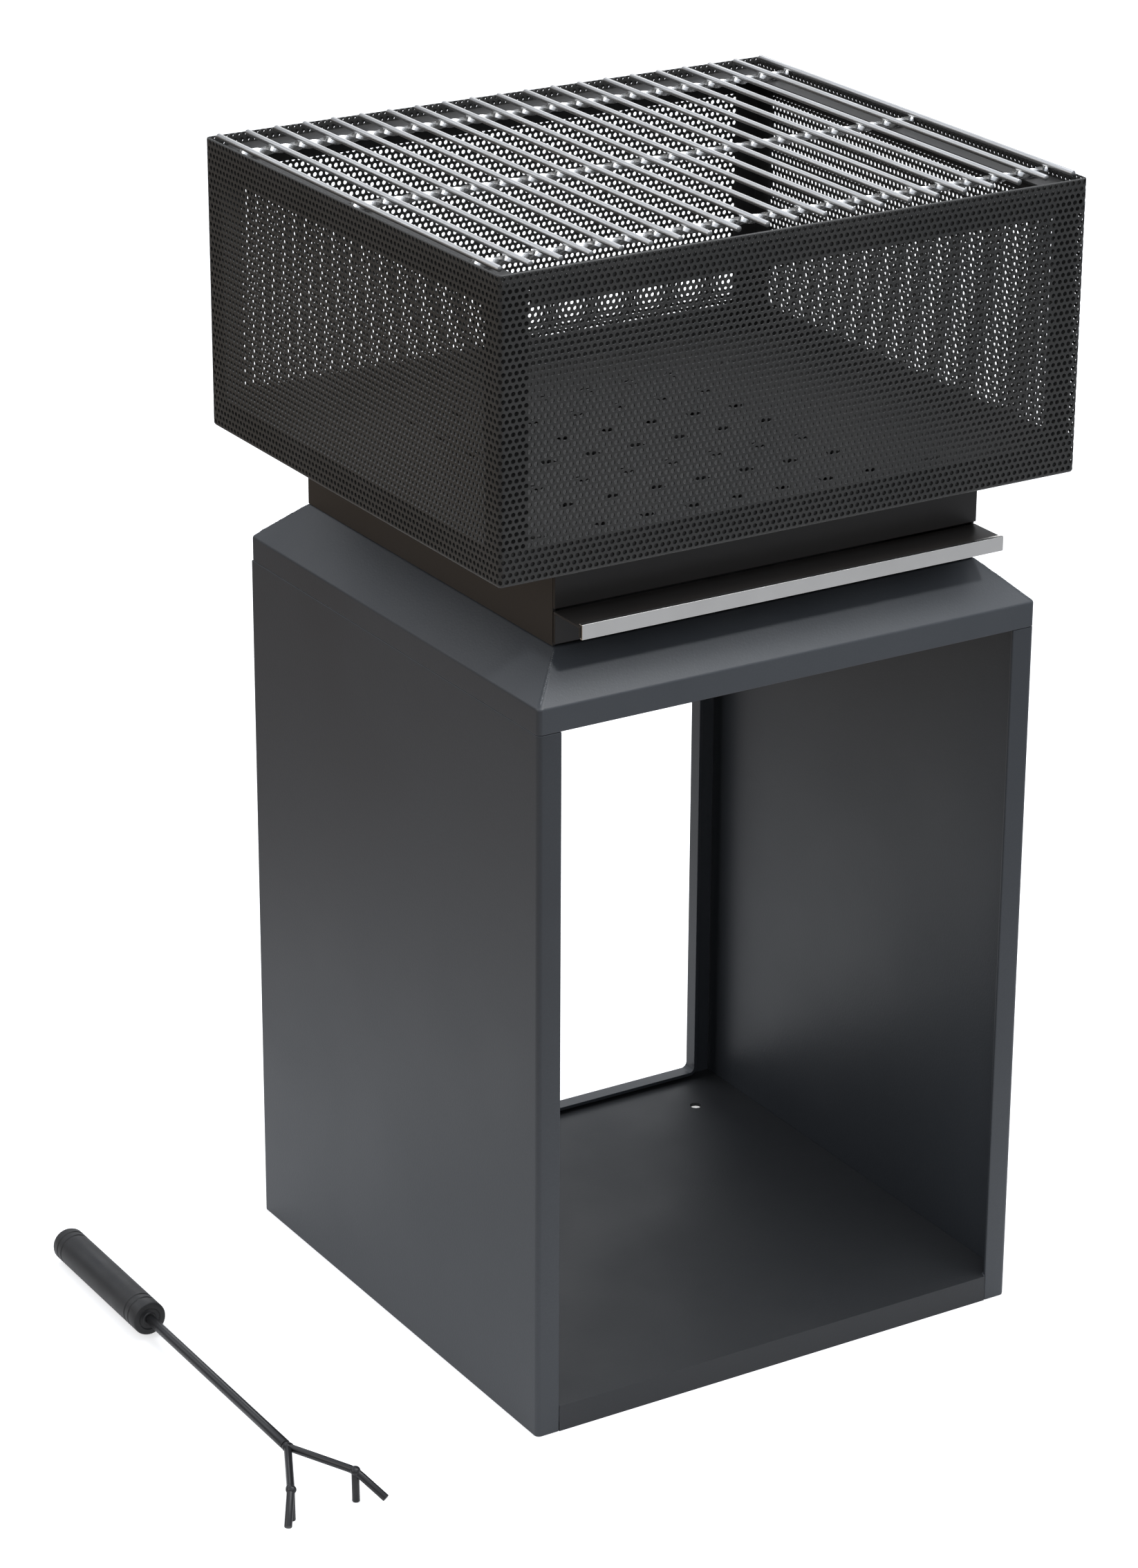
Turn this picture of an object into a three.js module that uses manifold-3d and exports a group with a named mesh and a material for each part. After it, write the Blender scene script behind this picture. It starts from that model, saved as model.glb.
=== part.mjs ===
// Wood-burning fire pit: a log-store plinth, a short housing with an ash drawer, a perforated fire
// basket, a lift-off cooking grate and the hand tool that lifts it.
// Millimetres, +Z up. The origin is on the ground under the middle of the plinth.
// X runs along the drawer side, and the drawer pulls out towards -Y.
import * as THREE from 'three';
import { mergeVertices } from 'three/addons/utils/BufferGeometryUtils.js';
import { ConvexGeometry } from 'three/addons/geometries/ConvexGeometry.js';
import Module from 'manifold-3d';

const wasm = await Module();
wasm.setup();

// ---- Driving dimensions -------------------------------------------------------------------------

const SEAT_GAP = 0.3;            // clearance left between pieces that rest on or touch each other

// Plinth
const PLINTH_WIDTH = 444;
const PLINTH_DEPTH = 440;
const PLINTH_HEIGHT = 600;       // ground to the edge where the cap starts to slope
const PLINTH_SHEET = 3;
const PLINTH_BEND_RADIUS = 4;    // outside radius of the folded front corners
const FRONT_FLANGE = 20;         // face width of the frame around the log opening
const FLOOR_LEVEL = 22;          // top of the log-store floor
const DRAIN_HOLE_DIAMETER = 10;
const DRAIN_HOLE_INSET_X = 52;   // hole centre from the plinth's side
const DRAIN_HOLE_INSET_Y = 59;   // hole centre from the plinth's back
const WINDOW_SIDE_MARGIN = 24;   // sheet left beside the rear window
const WINDOW_TOP_MARGIN = 24;    // sheet left above the rear window
const WINDOW_SILL = 6;           // rear window sill above the floor
const WINDOW_RETURN = 10;        // depth of the folded edge around the rear window
const WINDOW_CORNER_RADIUS = 5;
const STIFFENER_WIDTH = 50;
const STIFFENER_SHEET = 2.5;

// Cap
const CAP_SKIRT = 20;
const CAP_SLOPE_RUN = 34;
const CAP_SLOPE_RISE = 31;

// Neck housing
const NECK_HEIGHT = 67;
const NECK_SHEET = 2.5;
const NECK_TOP_FLANGE = 24;
const RUNNER_LEG = 14;
const RUNNER_SHEET = 2;

// Ash drawer
const DRAWER_FRONT_BOTTOM_GAP = 2;
const DRAWER_FRONT_HEIGHT = 25.5;
const DRAWER_REVEAL = 2;         // gap between the drawer front and the fascia above it
const DRAWER_SHEET = 2;
const DRAWER_SHELF_REACH = 35;   // how far the pull shelf stands out of the housing
const DRAWER_LIP_HEIGHT = 9;
const DRAWER_SIDE_CLEARANCE = 1.5;
const DRAWER_BACK_CLEARANCE = 12;
const DRAWER_TRAY_CLEARANCE = 3;  // tray rim below the fascia it passes under
const STRIP_SHEET = 1;
const STRIP_TOP_RETURN = 3;
const STRIP_BOTTOM_RETURN = 2;

// Fire basket
const BASKET_OVERHANG_X = 66;    // how far the basket stands out past the housing on each side
const BASKET_OVERHANG_Y = 33;
const BASKET_HEIGHT = 230;
const MESH_SHEET = 1;
const HEM_DROP = 8;              // the top edge is folded back down inside by this much
const PAN_SHEET = 2;
const PAN_UPSTAND = 25;
const VENT_DIAMETER = 12;
const VENT_PITCH_X = 40;
const VENT_PITCH_Y = 46;
const VENT_EDGE = 8;             // sheet left between the outer vents and the housing's flanges
const POST_LEG = 22;
const LEDGE_LEG = 25;
const LEDGE_DROP = 19;
const ANGLE_SHEET = 2.5;
const RIVET_SHANK = 6;
const RIVET_HEAD = 12;
const RIVET_HEAD_HEIGHT = 3;
const RIVET_HEAD_CROWN = 9.6;    // diameter where the head's flank turns into its crown
const RIVET_HEAD_FLANK = 1.95;   // height of that flank
const RIVET_TAIL = 9;            // diameter of the formed tail
const RIVET_TAIL_HEIGHT = 3;
const RIVET_TAIL_FLANK = 1.8;
const RIVET_HOLE = 6.8;
const RIVET_INSET_Y = 45;

// Grate
const BAR_COUNT = 21;
const BAR_DIAMETER = 4.5;
const BAR_PROUD = 4;             // top of the bars above the basket's rim
const BAR_SIDE_CLEARANCE = 2;    // outer bars to the rim's inside
const BAR_END_CLEARANCE = 7.5;
const ROD_SIDE = 5;              // square twisted rod
const ROD_OVERHANG = 36;         // bar end to the outer rods
const ROD_COUNT = 3;
const ROD_STEPS_PER_QUARTER = 3;

// Lifting tool, lying beside the plinth
const TOOL_GAP = 180;            // plinth side to the rear end of the tool's axis
const TOOL_TURN_DEGREES = -1.3;  // how far the tool lies off square to the plinth
const TOOL_HANDLE_DIAMETER = 28;
const TOOL_HANDLE_LENGTH = 159;
const TOOL_HANDLE_BACK = 230;    // rear end of the handle, from the plinth's middle
const TOOL_HANDLE_END_CHAMFER = 3;
const TOOL_HANDLE_MOUTH_CHAMFER = 2;
const TOOL_GROOVE_DEPTH = 0.8;
const TOOL_GROOVE_WIDTH = 2;
const TOOL_GROOVE_INSETS = [12, 19];
const TOOL_SHAFT_DIAMETER = 8;
const TOOL_SHAFT_LENGTH = 237;
const TOOL_PRONG_DIAMETER = 6;
const TOOL_PRONG_SPREAD = 27;    // sideways from the axis to the prong's knee
const TOOL_PRONG_REACH = 58;     // forward from the shaft to the prong's knee
const TOOL_TIP_SPREAD = 14;
const TOOL_TIP_REACH = 22;
const TOOL_TIP_DROP = 17;
const TOOL_KNEE_HEIGHT = 26;     // prong axis above the ground at the knee

const ROUND_SIDES = 10;
const BALL_RINGS = 6;
const DRAIN_SIDES = 12;
const VENT_SIDES = 8;
const GRIP_SIDES = 16;
const BEND_SEGMENTS = 3;
const CUT_OVERRUN = 5;           // how far a cutting tool runs past the sheet on each side

// ---- Derived places -----------------------------------------------------------------------------

const plinthX = PLINTH_WIDTH / 2;
const plinthY = PLINTH_DEPTH / 2;
const capSkirtBottom = PLINTH_HEIGHT - CAP_SKIRT;
const capTop = PLINTH_HEIGHT + CAP_SLOPE_RISE;
const wallTop = capSkirtBottom - SEAT_GAP;

const neckX = plinthX - CAP_SLOPE_RUN;
const neckY = plinthY - CAP_SLOPE_RUN;
const neckBottom = capTop + SEAT_GAP;
const neckTop = capTop + NECK_HEIGHT - SEAT_GAP;
const neckFlangeBottom = neckTop - NECK_SHEET;

const drawerFrontBottom = capTop + DRAWER_FRONT_BOTTOM_GAP;
const drawerFrontTop = drawerFrontBottom + DRAWER_FRONT_HEIGHT;
const drawerPlateBack = -neckY + DRAWER_SHEET;
const fasciaBottom = drawerFrontTop + DRAWER_REVEAL;
const neckFrontEdge = -neckY + NECK_SHEET + SEAT_GAP;
const shelfFront = -neckY - DRAWER_SHELF_REACH;
const runnerTop = neckBottom + SEAT_GAP + RUNNER_SHEET;
const runnerOuterX = neckX - NECK_SHEET - SEAT_GAP;

const basketBottom = capTop + NECK_HEIGHT;
const basketTop = basketBottom + BASKET_HEIGHT;
const basketX = neckX + BASKET_OVERHANG_X;
const basketY = neckY + BASKET_OVERHANG_Y;
const hemThickness = 2 * MESH_SHEET + SEAT_GAP;
const panX = basketX - MESH_SHEET - SEAT_GAP;
const panY = basketY - MESH_SHEET - SEAT_GAP;
const panBottom = basketBottom + SEAT_GAP;
const panFloorTop = panBottom + PAN_SHEET;

const barTop = basketTop + BAR_PROUD;
const barAxisZ = barTop - BAR_DIAMETER / 2;
const rodCornerRadius = ROD_SIDE * Math.SQRT1_2;
const rodAxisZ = barTop - BAR_DIAMETER - SEAT_GAP - rodCornerRadius;
const ledgeTop = rodAxisZ - rodCornerRadius - SEAT_GAP;
const outerBarX = basketX - hemThickness - BAR_SIDE_CLEARANCE - BAR_DIAMETER / 2;
const barHalfLength = basketY - hemThickness - BAR_END_CLEARANCE;

// ---- Finishes -----------------------------------------------------------------------------------

function finish(color, roughness, metalness) {
  return new THREE.MeshStandardMaterial({ color, roughness, metalness });
}

const anthracite = () => finish(0x4b4d51, 0.55, 0.35);
const satinBlack = () => finish(0x1f1d1c, 0.42, 0.4);
const heatBlack = () => finish(0x161616, 0.6, 0.3);
const brightSteel = () => finish(0xc9c9c6, 0.25, 1.0);
const mirrorSteel = () => finish(0xd8d8d8, 0.08, 1.0);
const tubeGrip = () => finish(0x2a2828, 0.5, 0.2);

// ---- Geometry helpers ---------------------------------------------------------------------------

function block(x0, x1, y0, y1, z0, z1) {
  const geometry = new THREE.BoxGeometry(x1 - x0, y1 - y0, z1 - z0);
  return geometry.translate((x0 + x1) / 2, (y0 + y1) / 2, (z0 + z1) / 2);
}

function rod(radius, start, end, sides = ROUND_SIDES) {
  const from = new THREE.Vector3(...start);
  const to = new THREE.Vector3(...end);
  const along = new THREE.Vector3().subVectors(to, from);
  const geometry = new THREE.CylinderGeometry(radius, radius, along.length(), sides);
  const turn = new THREE.Quaternion().setFromUnitVectors(
    new THREE.Vector3(0, 1, 0), along.clone().normalize());
  geometry.applyQuaternion(turn);
  return geometry.translate(...from.lerp(to, 0.5).toArray());
}

function outline(points) {
  return new THREE.Shape(points.map(([a, b]) => new THREE.Vector2(a, b)));
}

// Extrudes an outline drawn in (Y, Z) along X.
function alongX(shape, x0, x1) {
  const geometry = new THREE.ExtrudeGeometry(shape, { depth: x1 - x0, bevelEnabled: false });
  geometry.rotateZ(Math.PI / 2);
  geometry.rotateY(Math.PI / 2);
  return geometry.translate(x0, 0, 0);
}

// Extrudes an outline drawn in (X, Y) along Z.
function alongZ(shape, z0, z1) {
  const settings = { depth: z1 - z0, bevelEnabled: false, curveSegments: BEND_SEGMENTS };
  return new THREE.ExtrudeGeometry(shape, settings).translate(0, 0, z0);
}

// Extrudes an outline drawn in (X, Z) from y0 back to y1.
function alongY(shape, y0, y1) {
  const settings = { depth: y1 - y0, bevelEnabled: false, curveSegments: BEND_SEGMENTS };
  const geometry = new THREE.ExtrudeGeometry(shape, settings);
  geometry.rotateX(Math.PI / 2);
  return geometry.translate(0, y1, 0);
}

function toSolid(geometry) {
  const bare = geometry.index ? geometry.toNonIndexed() : geometry.clone();
  bare.deleteAttribute('normal');
  bare.deleteAttribute('uv');
  const merged = mergeVertices(bare, 1e-4);
  return new wasm.Manifold(new wasm.Mesh({
    numProp: 3,
    vertProperties: new Float32Array(merged.attributes.position.array),
    triVerts: new Uint32Array(merged.index.array),
  }));
}

function toGeometry(solid) {
  const mesh = solid.getMesh();
  const geometry = new THREE.BufferGeometry();
  geometry.setAttribute('position', new THREE.BufferAttribute(mesh.vertProperties, 3));
  geometry.setIndex(new THREE.BufferAttribute(mesh.triVerts, 1));
  geometry.computeVertexNormals();
  return geometry;
}

function joined(geometries) {
  return toGeometry(geometries.map(toSolid).reduce((whole, next) => whole.add(next)));
}

function cut(geometry, tools) {
  return toGeometry(tools.map(toSolid).reduce((left, tool) => left.subtract(tool), toSolid(geometry)));
}

const firePit = new THREE.Group();

function addPiece(name, geometry, material, parent = firePit) {
  const mesh = new THREE.Mesh(geometry, material);
  mesh.name = name;
  parent.add(mesh);
  return mesh;
}

// The two signs of a left and right, or front and back, pair.
const SIDES = [['left', -1], ['right', 1]];

// Mirrors an outline across the vertical axis and keeps its winding.
function mirrored(points, sign) {
  const turned = points.map(([a, b]) => [sign * a, b]);
  return sign < 0 ? turned.reverse() : turned;
}

// ---- Plinth -------------------------------------------------------------------------------------

// Section of a side panel, seen from above: the side wall with its front flange folded inwards.
function sidePanelSection(sign) {
  const arcPoints = (radius) => {
    const centreX = plinthX - PLINTH_BEND_RADIUS;
    const centreY = -plinthY + PLINTH_BEND_RADIUS;
    return Array.from({ length: BEND_SEGMENTS + 1 }, (_, step) => {
      const angle = -Math.PI / 2 + (Math.PI / 2) * (step / BEND_SEGMENTS);
      return [centreX + radius * Math.cos(angle), centreY + radius * Math.sin(angle)];
    });
  };
  const outside = arcPoints(PLINTH_BEND_RADIUS);
  const inside = arcPoints(PLINTH_BEND_RADIUS - PLINTH_SHEET).reverse();
  return outline(mirrored([
    [plinthX - FRONT_FLANGE, -plinthY],
    ...outside,
    [plinthX, plinthY],
    [plinthX - PLINTH_SHEET, plinthY],
    ...inside,
    [plinthX - FRONT_FLANGE, -plinthY + PLINTH_SHEET],
  ], sign));
}

function roundedRectangle(x0, x1, z0, z1, radius) {
  const shape = new THREE.Shape();
  shape.moveTo(x0 + radius, z0);
  shape.absarc(x1 - radius, z0 + radius, radius, -Math.PI / 2, 0, false);
  shape.absarc(x1 - radius, z1 - radius, radius, 0, Math.PI / 2, false);
  shape.absarc(x0 + radius, z1 - radius, radius, Math.PI / 2, Math.PI, false);
  shape.absarc(x0 + radius, z0 + radius, radius, Math.PI, Math.PI * 1.5, false);
  return shape;
}

function rearPanel() {
  const halfWidth = plinthX - PLINTH_SHEET - SEAT_GAP;
  const windowX = plinthX - WINDOW_SIDE_MARGIN;
  const sill = FLOOR_LEVEL + WINDOW_SILL;
  const head = wallTop - WINDOW_TOP_MARGIN;
  const opening = roundedRectangle(-windowX, windowX, sill, head, WINDOW_CORNER_RADIUS);
  const surround = roundedRectangle(
    -windowX - PLINTH_SHEET, windowX + PLINTH_SHEET, sill - PLINTH_SHEET, head + PLINTH_SHEET,
    WINDOW_CORNER_RADIUS + PLINTH_SHEET);
  const sheet = block(-halfWidth, halfWidth, plinthY - PLINTH_SHEET, plinthY, 0, wallTop);
  const rim = alongY(surround, plinthY - PLINTH_SHEET - WINDOW_RETURN, plinthY);
  const hole = alongY(opening, plinthY - 2 * WINDOW_RETURN, plinthY + WINDOW_RETURN);
  return cut(joined([sheet, rim]), [hole]);
}

function floorSheet() {
  const halfWidth = plinthX - PLINTH_SHEET - SEAT_GAP;
  const lipHalfWidth = plinthX - FRONT_FLANGE - SEAT_GAP;
  const underside = FLOOR_LEVEL - PLINTH_SHEET;
  const back = plinthY - PLINTH_SHEET - SEAT_GAP;
  const front = -plinthY + PLINTH_SHEET + SEAT_GAP;
  const deck = block(-halfWidth, halfWidth, front, back, underside, FLOOR_LEVEL);
  const nose = block(-lipHalfWidth, lipHalfWidth, -plinthY, front + PLINTH_SHEET, underside, FLOOR_LEVEL);
  const lip = block(-lipHalfWidth, lipHalfWidth, -plinthY, -plinthY + PLINTH_SHEET, 0, FLOOR_LEVEL);
  const drains = SIDES.map(([, sign]) => {
    const x = sign * (plinthX - DRAIN_HOLE_INSET_X);
    const y = plinthY - DRAIN_HOLE_INSET_Y;
    return rod(DRAIN_HOLE_DIAMETER / 2, [x, y, 0], [x, y, 2 * FLOOR_LEVEL], DRAIN_SIDES);
  });
  return cut(joined([deck, nose, lip]), drains);
}

// A channel under the floor that stands on the ground, open side up.
function floorStiffener() {
  const half = STIFFENER_WIDTH / 2;
  const top = FLOOR_LEVEL - PLINTH_SHEET - SEAT_GAP;
  const reach = plinthX - PLINTH_SHEET - SEAT_GAP;
  const section = outline([
    [-half, 0],
    [half, 0],
    [half, top],
    [half - STIFFENER_SHEET, top],
    [half - STIFFENER_SHEET, STIFFENER_SHEET],
    [-half + STIFFENER_SHEET, STIFFENER_SHEET],
    [-half + STIFFENER_SHEET, top],
    [-half, top],
  ]);
  return alongX(section, -reach, reach);
}

// One skin of the cap: a straight skirt, then four sloping faces up to a flat top.
function capBody(halfX, halfY, skirtBottom, slopeStart, slopeTop, run) {
  const corners = [];
  const levels = [[skirtBottom, 0], [slopeStart, 0], [slopeTop, run]];
  for (const [z, inset] of levels) {
    for (const signX of [-1, 1]) {
      for (const signY of [-1, 1]) {
        corners.push(new THREE.Vector3(signX * (halfX - inset), signY * (halfY - inset), z));
      }
    }
  }
  return new ConvexGeometry(corners);
}

function topCap() {
  const steepness = CAP_SLOPE_RISE / CAP_SLOPE_RUN;
  const slopeOffset = PLINTH_SHEET * Math.hypot(1, steepness);
  const innerStart = PLINTH_HEIGHT + PLINTH_SHEET * steepness - slopeOffset;
  const innerTop = capTop - PLINTH_SHEET;
  const innerRun = (innerTop - innerStart) / steepness;
  const outer = capBody(plinthX, plinthY, capSkirtBottom, PLINTH_HEIGHT, capTop, CAP_SLOPE_RUN);
  const inner = capBody(plinthX - PLINTH_SHEET, plinthY - PLINTH_SHEET, capSkirtBottom - PLINTH_SHEET,
    innerStart, innerTop, innerRun);
  return cut(outer, [inner]);
}

function buildPlinth() {
  for (const [side, sign] of SIDES) {
    addPiece(`plinth_${side}_panel`, alongZ(sidePanelSection(sign), 0, wallTop), anthracite());
  }
  addPiece('plinth_rear_panel', rearPanel(), anthracite());
  addPiece('log_store_floor', floorSheet(), anthracite());
  addPiece('floor_stiffener', floorStiffener(), anthracite());
  addPiece('plinth_cap', topCap(), anthracite());
}

// ---- Neck housing -------------------------------------------------------------------------------

const rivetX = neckX - NECK_TOP_FLANGE / 2;
const rivetPlaces = [];
for (const signX of [-1, 1]) {
  for (const signY of [-1, 1]) {
    rivetPlaces.push([signX * rivetX, signY * (neckY - RIVET_INSET_Y)]);
  }
}

function rivetHoles() {
  return rivetPlaces.map(([x, y]) => (
    rod(RIVET_HOLE / 2, [x, y, neckFlangeBottom - CUT_OVERRUN], [x, y, panFloorTop + CUT_OVERRUN])));
}

function neckSideWall(sign) {
  const inner = neckX - NECK_SHEET;
  const flangeEdge = neckX - NECK_TOP_FLANGE;
  const span = (a, b) => [Math.min(sign * a, sign * b), Math.max(sign * a, sign * b)];
  const wall = block(...span(inner, neckX), neckFrontEdge, neckY, neckBottom, neckTop);
  const flange = block(...span(flangeEdge, neckX), neckFrontEdge, neckY, neckFlangeBottom, neckTop);
  return cut(joined([wall, flange]), rivetHoles().filter((_, index) => (
    Math.sign(rivetPlaces[index][0]) === sign)));
}

function runner(sign) {
  const inner = runnerOuterX - RUNNER_LEG;
  const top = neckBottom + SEAT_GAP + RUNNER_LEG;
  const section = outline(mirrored([
    [inner, neckBottom + SEAT_GAP],
    [runnerOuterX, neckBottom + SEAT_GAP],
    [runnerOuterX, top],
    [runnerOuterX - RUNNER_SHEET, top],
    [runnerOuterX - RUNNER_SHEET, runnerTop],
    [inner, runnerTop],
  ], sign));
  return alongY(section, neckFrontEdge, neckY - NECK_SHEET - SEAT_GAP);
}

function buildNeck() {
  for (const [side, sign] of SIDES) {
    addPiece(`neck_${side}_wall`, neckSideWall(sign), satinBlack());
    addPiece(`drawer_${side}_runner`, runner(sign), satinBlack());
  }
  const backX = neckX - NECK_SHEET - SEAT_GAP;
  const flangeX = neckX - NECK_TOP_FLANGE - SEAT_GAP;
  const underFlange = neckFlangeBottom - SEAT_GAP;
  const backPlate = block(-backX, backX, neckY - NECK_SHEET, neckY, neckBottom, underFlange);
  const backTop = block(-flangeX, flangeX, neckY - NECK_SHEET, neckY, neckBottom, neckTop);
  addPiece('neck_rear_wall', joined([backPlate, backTop]), satinBlack());
  const fascia = block(-neckX, neckX, -neckY, -neckY + NECK_SHEET, fasciaBottom, neckTop);
  addPiece('neck_front_fascia', fascia, satinBlack());
}

// ---- Ash drawer ---------------------------------------------------------------------------------

const trayX = runnerOuterX - RUNNER_SHEET - DRAWER_SIDE_CLEARANCE;
const trayBottom = runnerTop + SEAT_GAP;
const trayTop = fasciaBottom - DRAWER_TRAY_CLEARANCE;
const trayFront = drawerPlateBack + SEAT_GAP;
const trayBack = neckY - NECK_SHEET - SEAT_GAP - DRAWER_BACK_CLEARANCE;

// The tray's floor and sides, folded from one sheet. The drawer front closes its front end.
function ashTray() {
  const innerX = trayX - DRAWER_SHEET;
  const floorTop = trayBottom + DRAWER_SHEET;
  const section = outline([
    [-trayX, trayBottom],
    [trayX, trayBottom],
    [trayX, trayTop],
    [innerX, trayTop],
    [innerX, floorTop],
    [-innerX, floorTop],
    [-innerX, trayTop],
    [-trayX, trayTop],
  ]);
  return alongY(section, trayFront, trayBack);
}

function ashTrayRear() {
  const halfWidth = trayX - DRAWER_SHEET - SEAT_GAP;
  const floorTop = trayBottom + DRAWER_SHEET + SEAT_GAP;
  return block(-halfWidth, halfWidth, trayBack - DRAWER_SHEET, trayBack, floorTop, trayTop);
}

// Section of the drawer front in (Y, Z): front plate, shelf that serves as the pull, hanging lip.
function drawerFrontSection() {
  const shelfUnderside = drawerFrontTop - DRAWER_SHEET;
  const lipBottom = drawerFrontTop - DRAWER_LIP_HEIGHT;
  return outline([
    [drawerPlateBack, drawerFrontBottom],
    [drawerPlateBack, drawerFrontTop],
    [shelfFront, drawerFrontTop],
    [shelfFront, lipBottom],
    [shelfFront + DRAWER_SHEET, lipBottom],
    [shelfFront + DRAWER_SHEET, shelfUnderside],
    [-neckY, shelfUnderside],
    [-neckY, drawerFrontBottom],
  ].reverse());
}

// Section of the bright trim that clips over the lip.
function stripSection() {
  const back = shelfFront - SEAT_GAP;
  const front = back - STRIP_SHEET;
  const top = drawerFrontTop + SEAT_GAP;
  const bottom = drawerFrontTop - DRAWER_LIP_HEIGHT - SEAT_GAP;
  return outline([
    [front, bottom - STRIP_SHEET],
    [back + STRIP_BOTTOM_RETURN, bottom - STRIP_SHEET],
    [back + STRIP_BOTTOM_RETURN, bottom],
    [back, bottom],
    [back, top],
    [back + STRIP_TOP_RETURN, top],
    [back + STRIP_TOP_RETURN, top + STRIP_SHEET],
    [front, top + STRIP_SHEET],
  ]);
}

function buildDrawer() {
  addPiece('ash_drawer_tray', ashTray(), heatBlack());
  addPiece('ash_drawer_rear', ashTrayRear(), heatBlack());
  addPiece('ash_drawer_front', alongX(drawerFrontSection(), -neckX, neckX), satinBlack());
  addPiece('ash_drawer_trim', alongX(stripSection(), -neckX, neckX), mirrorSteel());
}

// ---- Fire basket --------------------------------------------------------------------------------

// Evenly spaced places, centred on zero, that stay within the given half-width.
function centredRow(pitch, halfWidth) {
  const steps = Math.floor(halfWidth / pitch);
  return Array.from({ length: 2 * steps + 1 }, (_, index) => (index - steps) * pitch);
}

function firePan() {
  const upstandTop = panBottom + PAN_UPSTAND;
  const shell = block(-panX, panX, -panY, panY, panBottom, upstandTop);
  const hollow = block(-panX + PAN_SHEET, panX - PAN_SHEET, -panY + PAN_SHEET, panY - PAN_SHEET,
    panFloorTop, upstandTop + PAN_UPSTAND);
  const ventReachX = neckX - NECK_TOP_FLANGE - VENT_EDGE - VENT_DIAMETER / 2;
  const ventReachY = neckY - NECK_SHEET - VENT_EDGE - VENT_DIAMETER / 2;
  const holes = [hollow, ...rivetHoles()];
  for (const x of centredRow(VENT_PITCH_X, ventReachX)) {
    for (const y of centredRow(VENT_PITCH_Y, ventReachY)) {
      const below = [x, y, panBottom - CUT_OVERRUN];
      const above = [x, y, panFloorTop + CUT_OVERRUN];
      holes.push(rod(VENT_DIAMETER / 2, below, above, VENT_SIDES));
    }
  }
  return cut(shell, holes);
}

// A wall of the basket, drawn in (across, Z) with its outer face at across = 0 and its top edge
// folded back down inside.
function wallPiece(halfLength, hemHalfLength) {
  const plate = block(-halfLength, halfLength, 0, MESH_SHEET, basketBottom, basketTop);
  const hem = block(-hemHalfLength, hemHalfLength, 0, hemThickness, basketTop - HEM_DROP, basketTop);
  return joined([plate, hem]);
}

// Turns a piece that was made for the front wall to one of the four sides.
function placedOnSide(geometry, quarterTurns, distance) {
  return geometry.translate(0, -distance, 0).rotateZ(quarterTurns * Math.PI / 2);
}

function ledgeSection() {
  return outline([
    [0, ledgeTop - LEDGE_DROP],
    [ANGLE_SHEET, ledgeTop - LEDGE_DROP],
    [ANGLE_SHEET, ledgeTop - ANGLE_SHEET],
    [LEDGE_LEG, ledgeTop - ANGLE_SHEET],
    [LEDGE_LEG, ledgeTop],
    [0, ledgeTop],
  ]);
}

function cornerPost(signX, signY) {
  const outerX = panX - ANGLE_SHEET - SEAT_GAP;
  const outerY = panY - ANGLE_SHEET - SEAT_GAP;
  const bottom = panFloorTop + SEAT_GAP;
  const top = ledgeTop - ANGLE_SHEET - SEAT_GAP;
  const corner = [
    [outerX, outerY],
    [outerX - POST_LEG, outerY],
    [outerX - POST_LEG, outerY - ANGLE_SHEET],
    [outerX - ANGLE_SHEET, outerY - ANGLE_SHEET],
    [outerX - ANGLE_SHEET, outerY - POST_LEG],
    [outerX, outerY - POST_LEG],
  ].map(([x, y]) => [signX * x, signY * y]);
  return alongZ(outline(signX * signY < 0 ? corner.reverse() : corner), bottom, top);
}

// A rivet that holds the pan to the housing's flange: head above, formed tail below.
function rivet(x, y) {
  const headBottom = panFloorTop + SEAT_GAP;
  const tailTop = neckFlangeBottom - SEAT_GAP;
  const profile = [
    [0, tailTop - RIVET_TAIL_HEIGHT],
    [RIVET_TAIL, tailTop - RIVET_TAIL_FLANK],
    [RIVET_TAIL, tailTop],
    [RIVET_SHANK, tailTop],
    [RIVET_SHANK, headBottom],
    [RIVET_HEAD, headBottom],
    [RIVET_HEAD_CROWN, headBottom + RIVET_HEAD_FLANK],
    [0, headBottom + RIVET_HEAD_HEIGHT],
  ].map(([diameter, z]) => new THREE.Vector2(diameter / 2, z));
  return new THREE.LatheGeometry(profile, ROUND_SIDES).rotateX(Math.PI / 2).translate(x, y, 0);
}

const BASKET_SIDES = [['front', 0], ['right', 1], ['rear', 2], ['left', 3]];

function buildBasket() {
  addPiece('fire_pan', firePan(), heatBlack());
  for (const [side, turns] of BASKET_SIDES) {
    const isLong = turns % 2 === 0;
    const distance = isLong ? basketY : basketX;
    const wallHalf = isLong ? basketX : basketY - MESH_SHEET - SEAT_GAP;
    const hemHalf = isLong ? basketX - MESH_SHEET - SEAT_GAP : basketY - hemThickness - SEAT_GAP;
    const wall = wallPiece(wallHalf, hemHalf);
    addPiece(`basket_${side}_mesh`, placedOnSide(wall, turns, distance), satinBlack());
    const ledgeHalf = isLong ? panX - LEDGE_LEG - SEAT_GAP : panY;
    const ledge = alongX(ledgeSection(), -ledgeHalf, ledgeHalf);
    const ledgeOffset = distance - MESH_SHEET - SEAT_GAP;
    addPiece(`grate_ledge_${side}`, placedOnSide(ledge, turns, ledgeOffset), heatBlack());
  }
  for (const [end, signY] of [['front', -1], ['rear', 1]]) {
    for (const [side, signX] of SIDES) {
      addPiece(`corner_post_${end}_${side}`, cornerPost(signX, signY), heatBlack());
    }
  }
  rivetPlaces.forEach(([x, y], index) => {
    addPiece(`pan_rivet_${index + 1}`, rivet(x, y), heatBlack());
  });
}

// ---- Grate --------------------------------------------------------------------------------------

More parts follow.
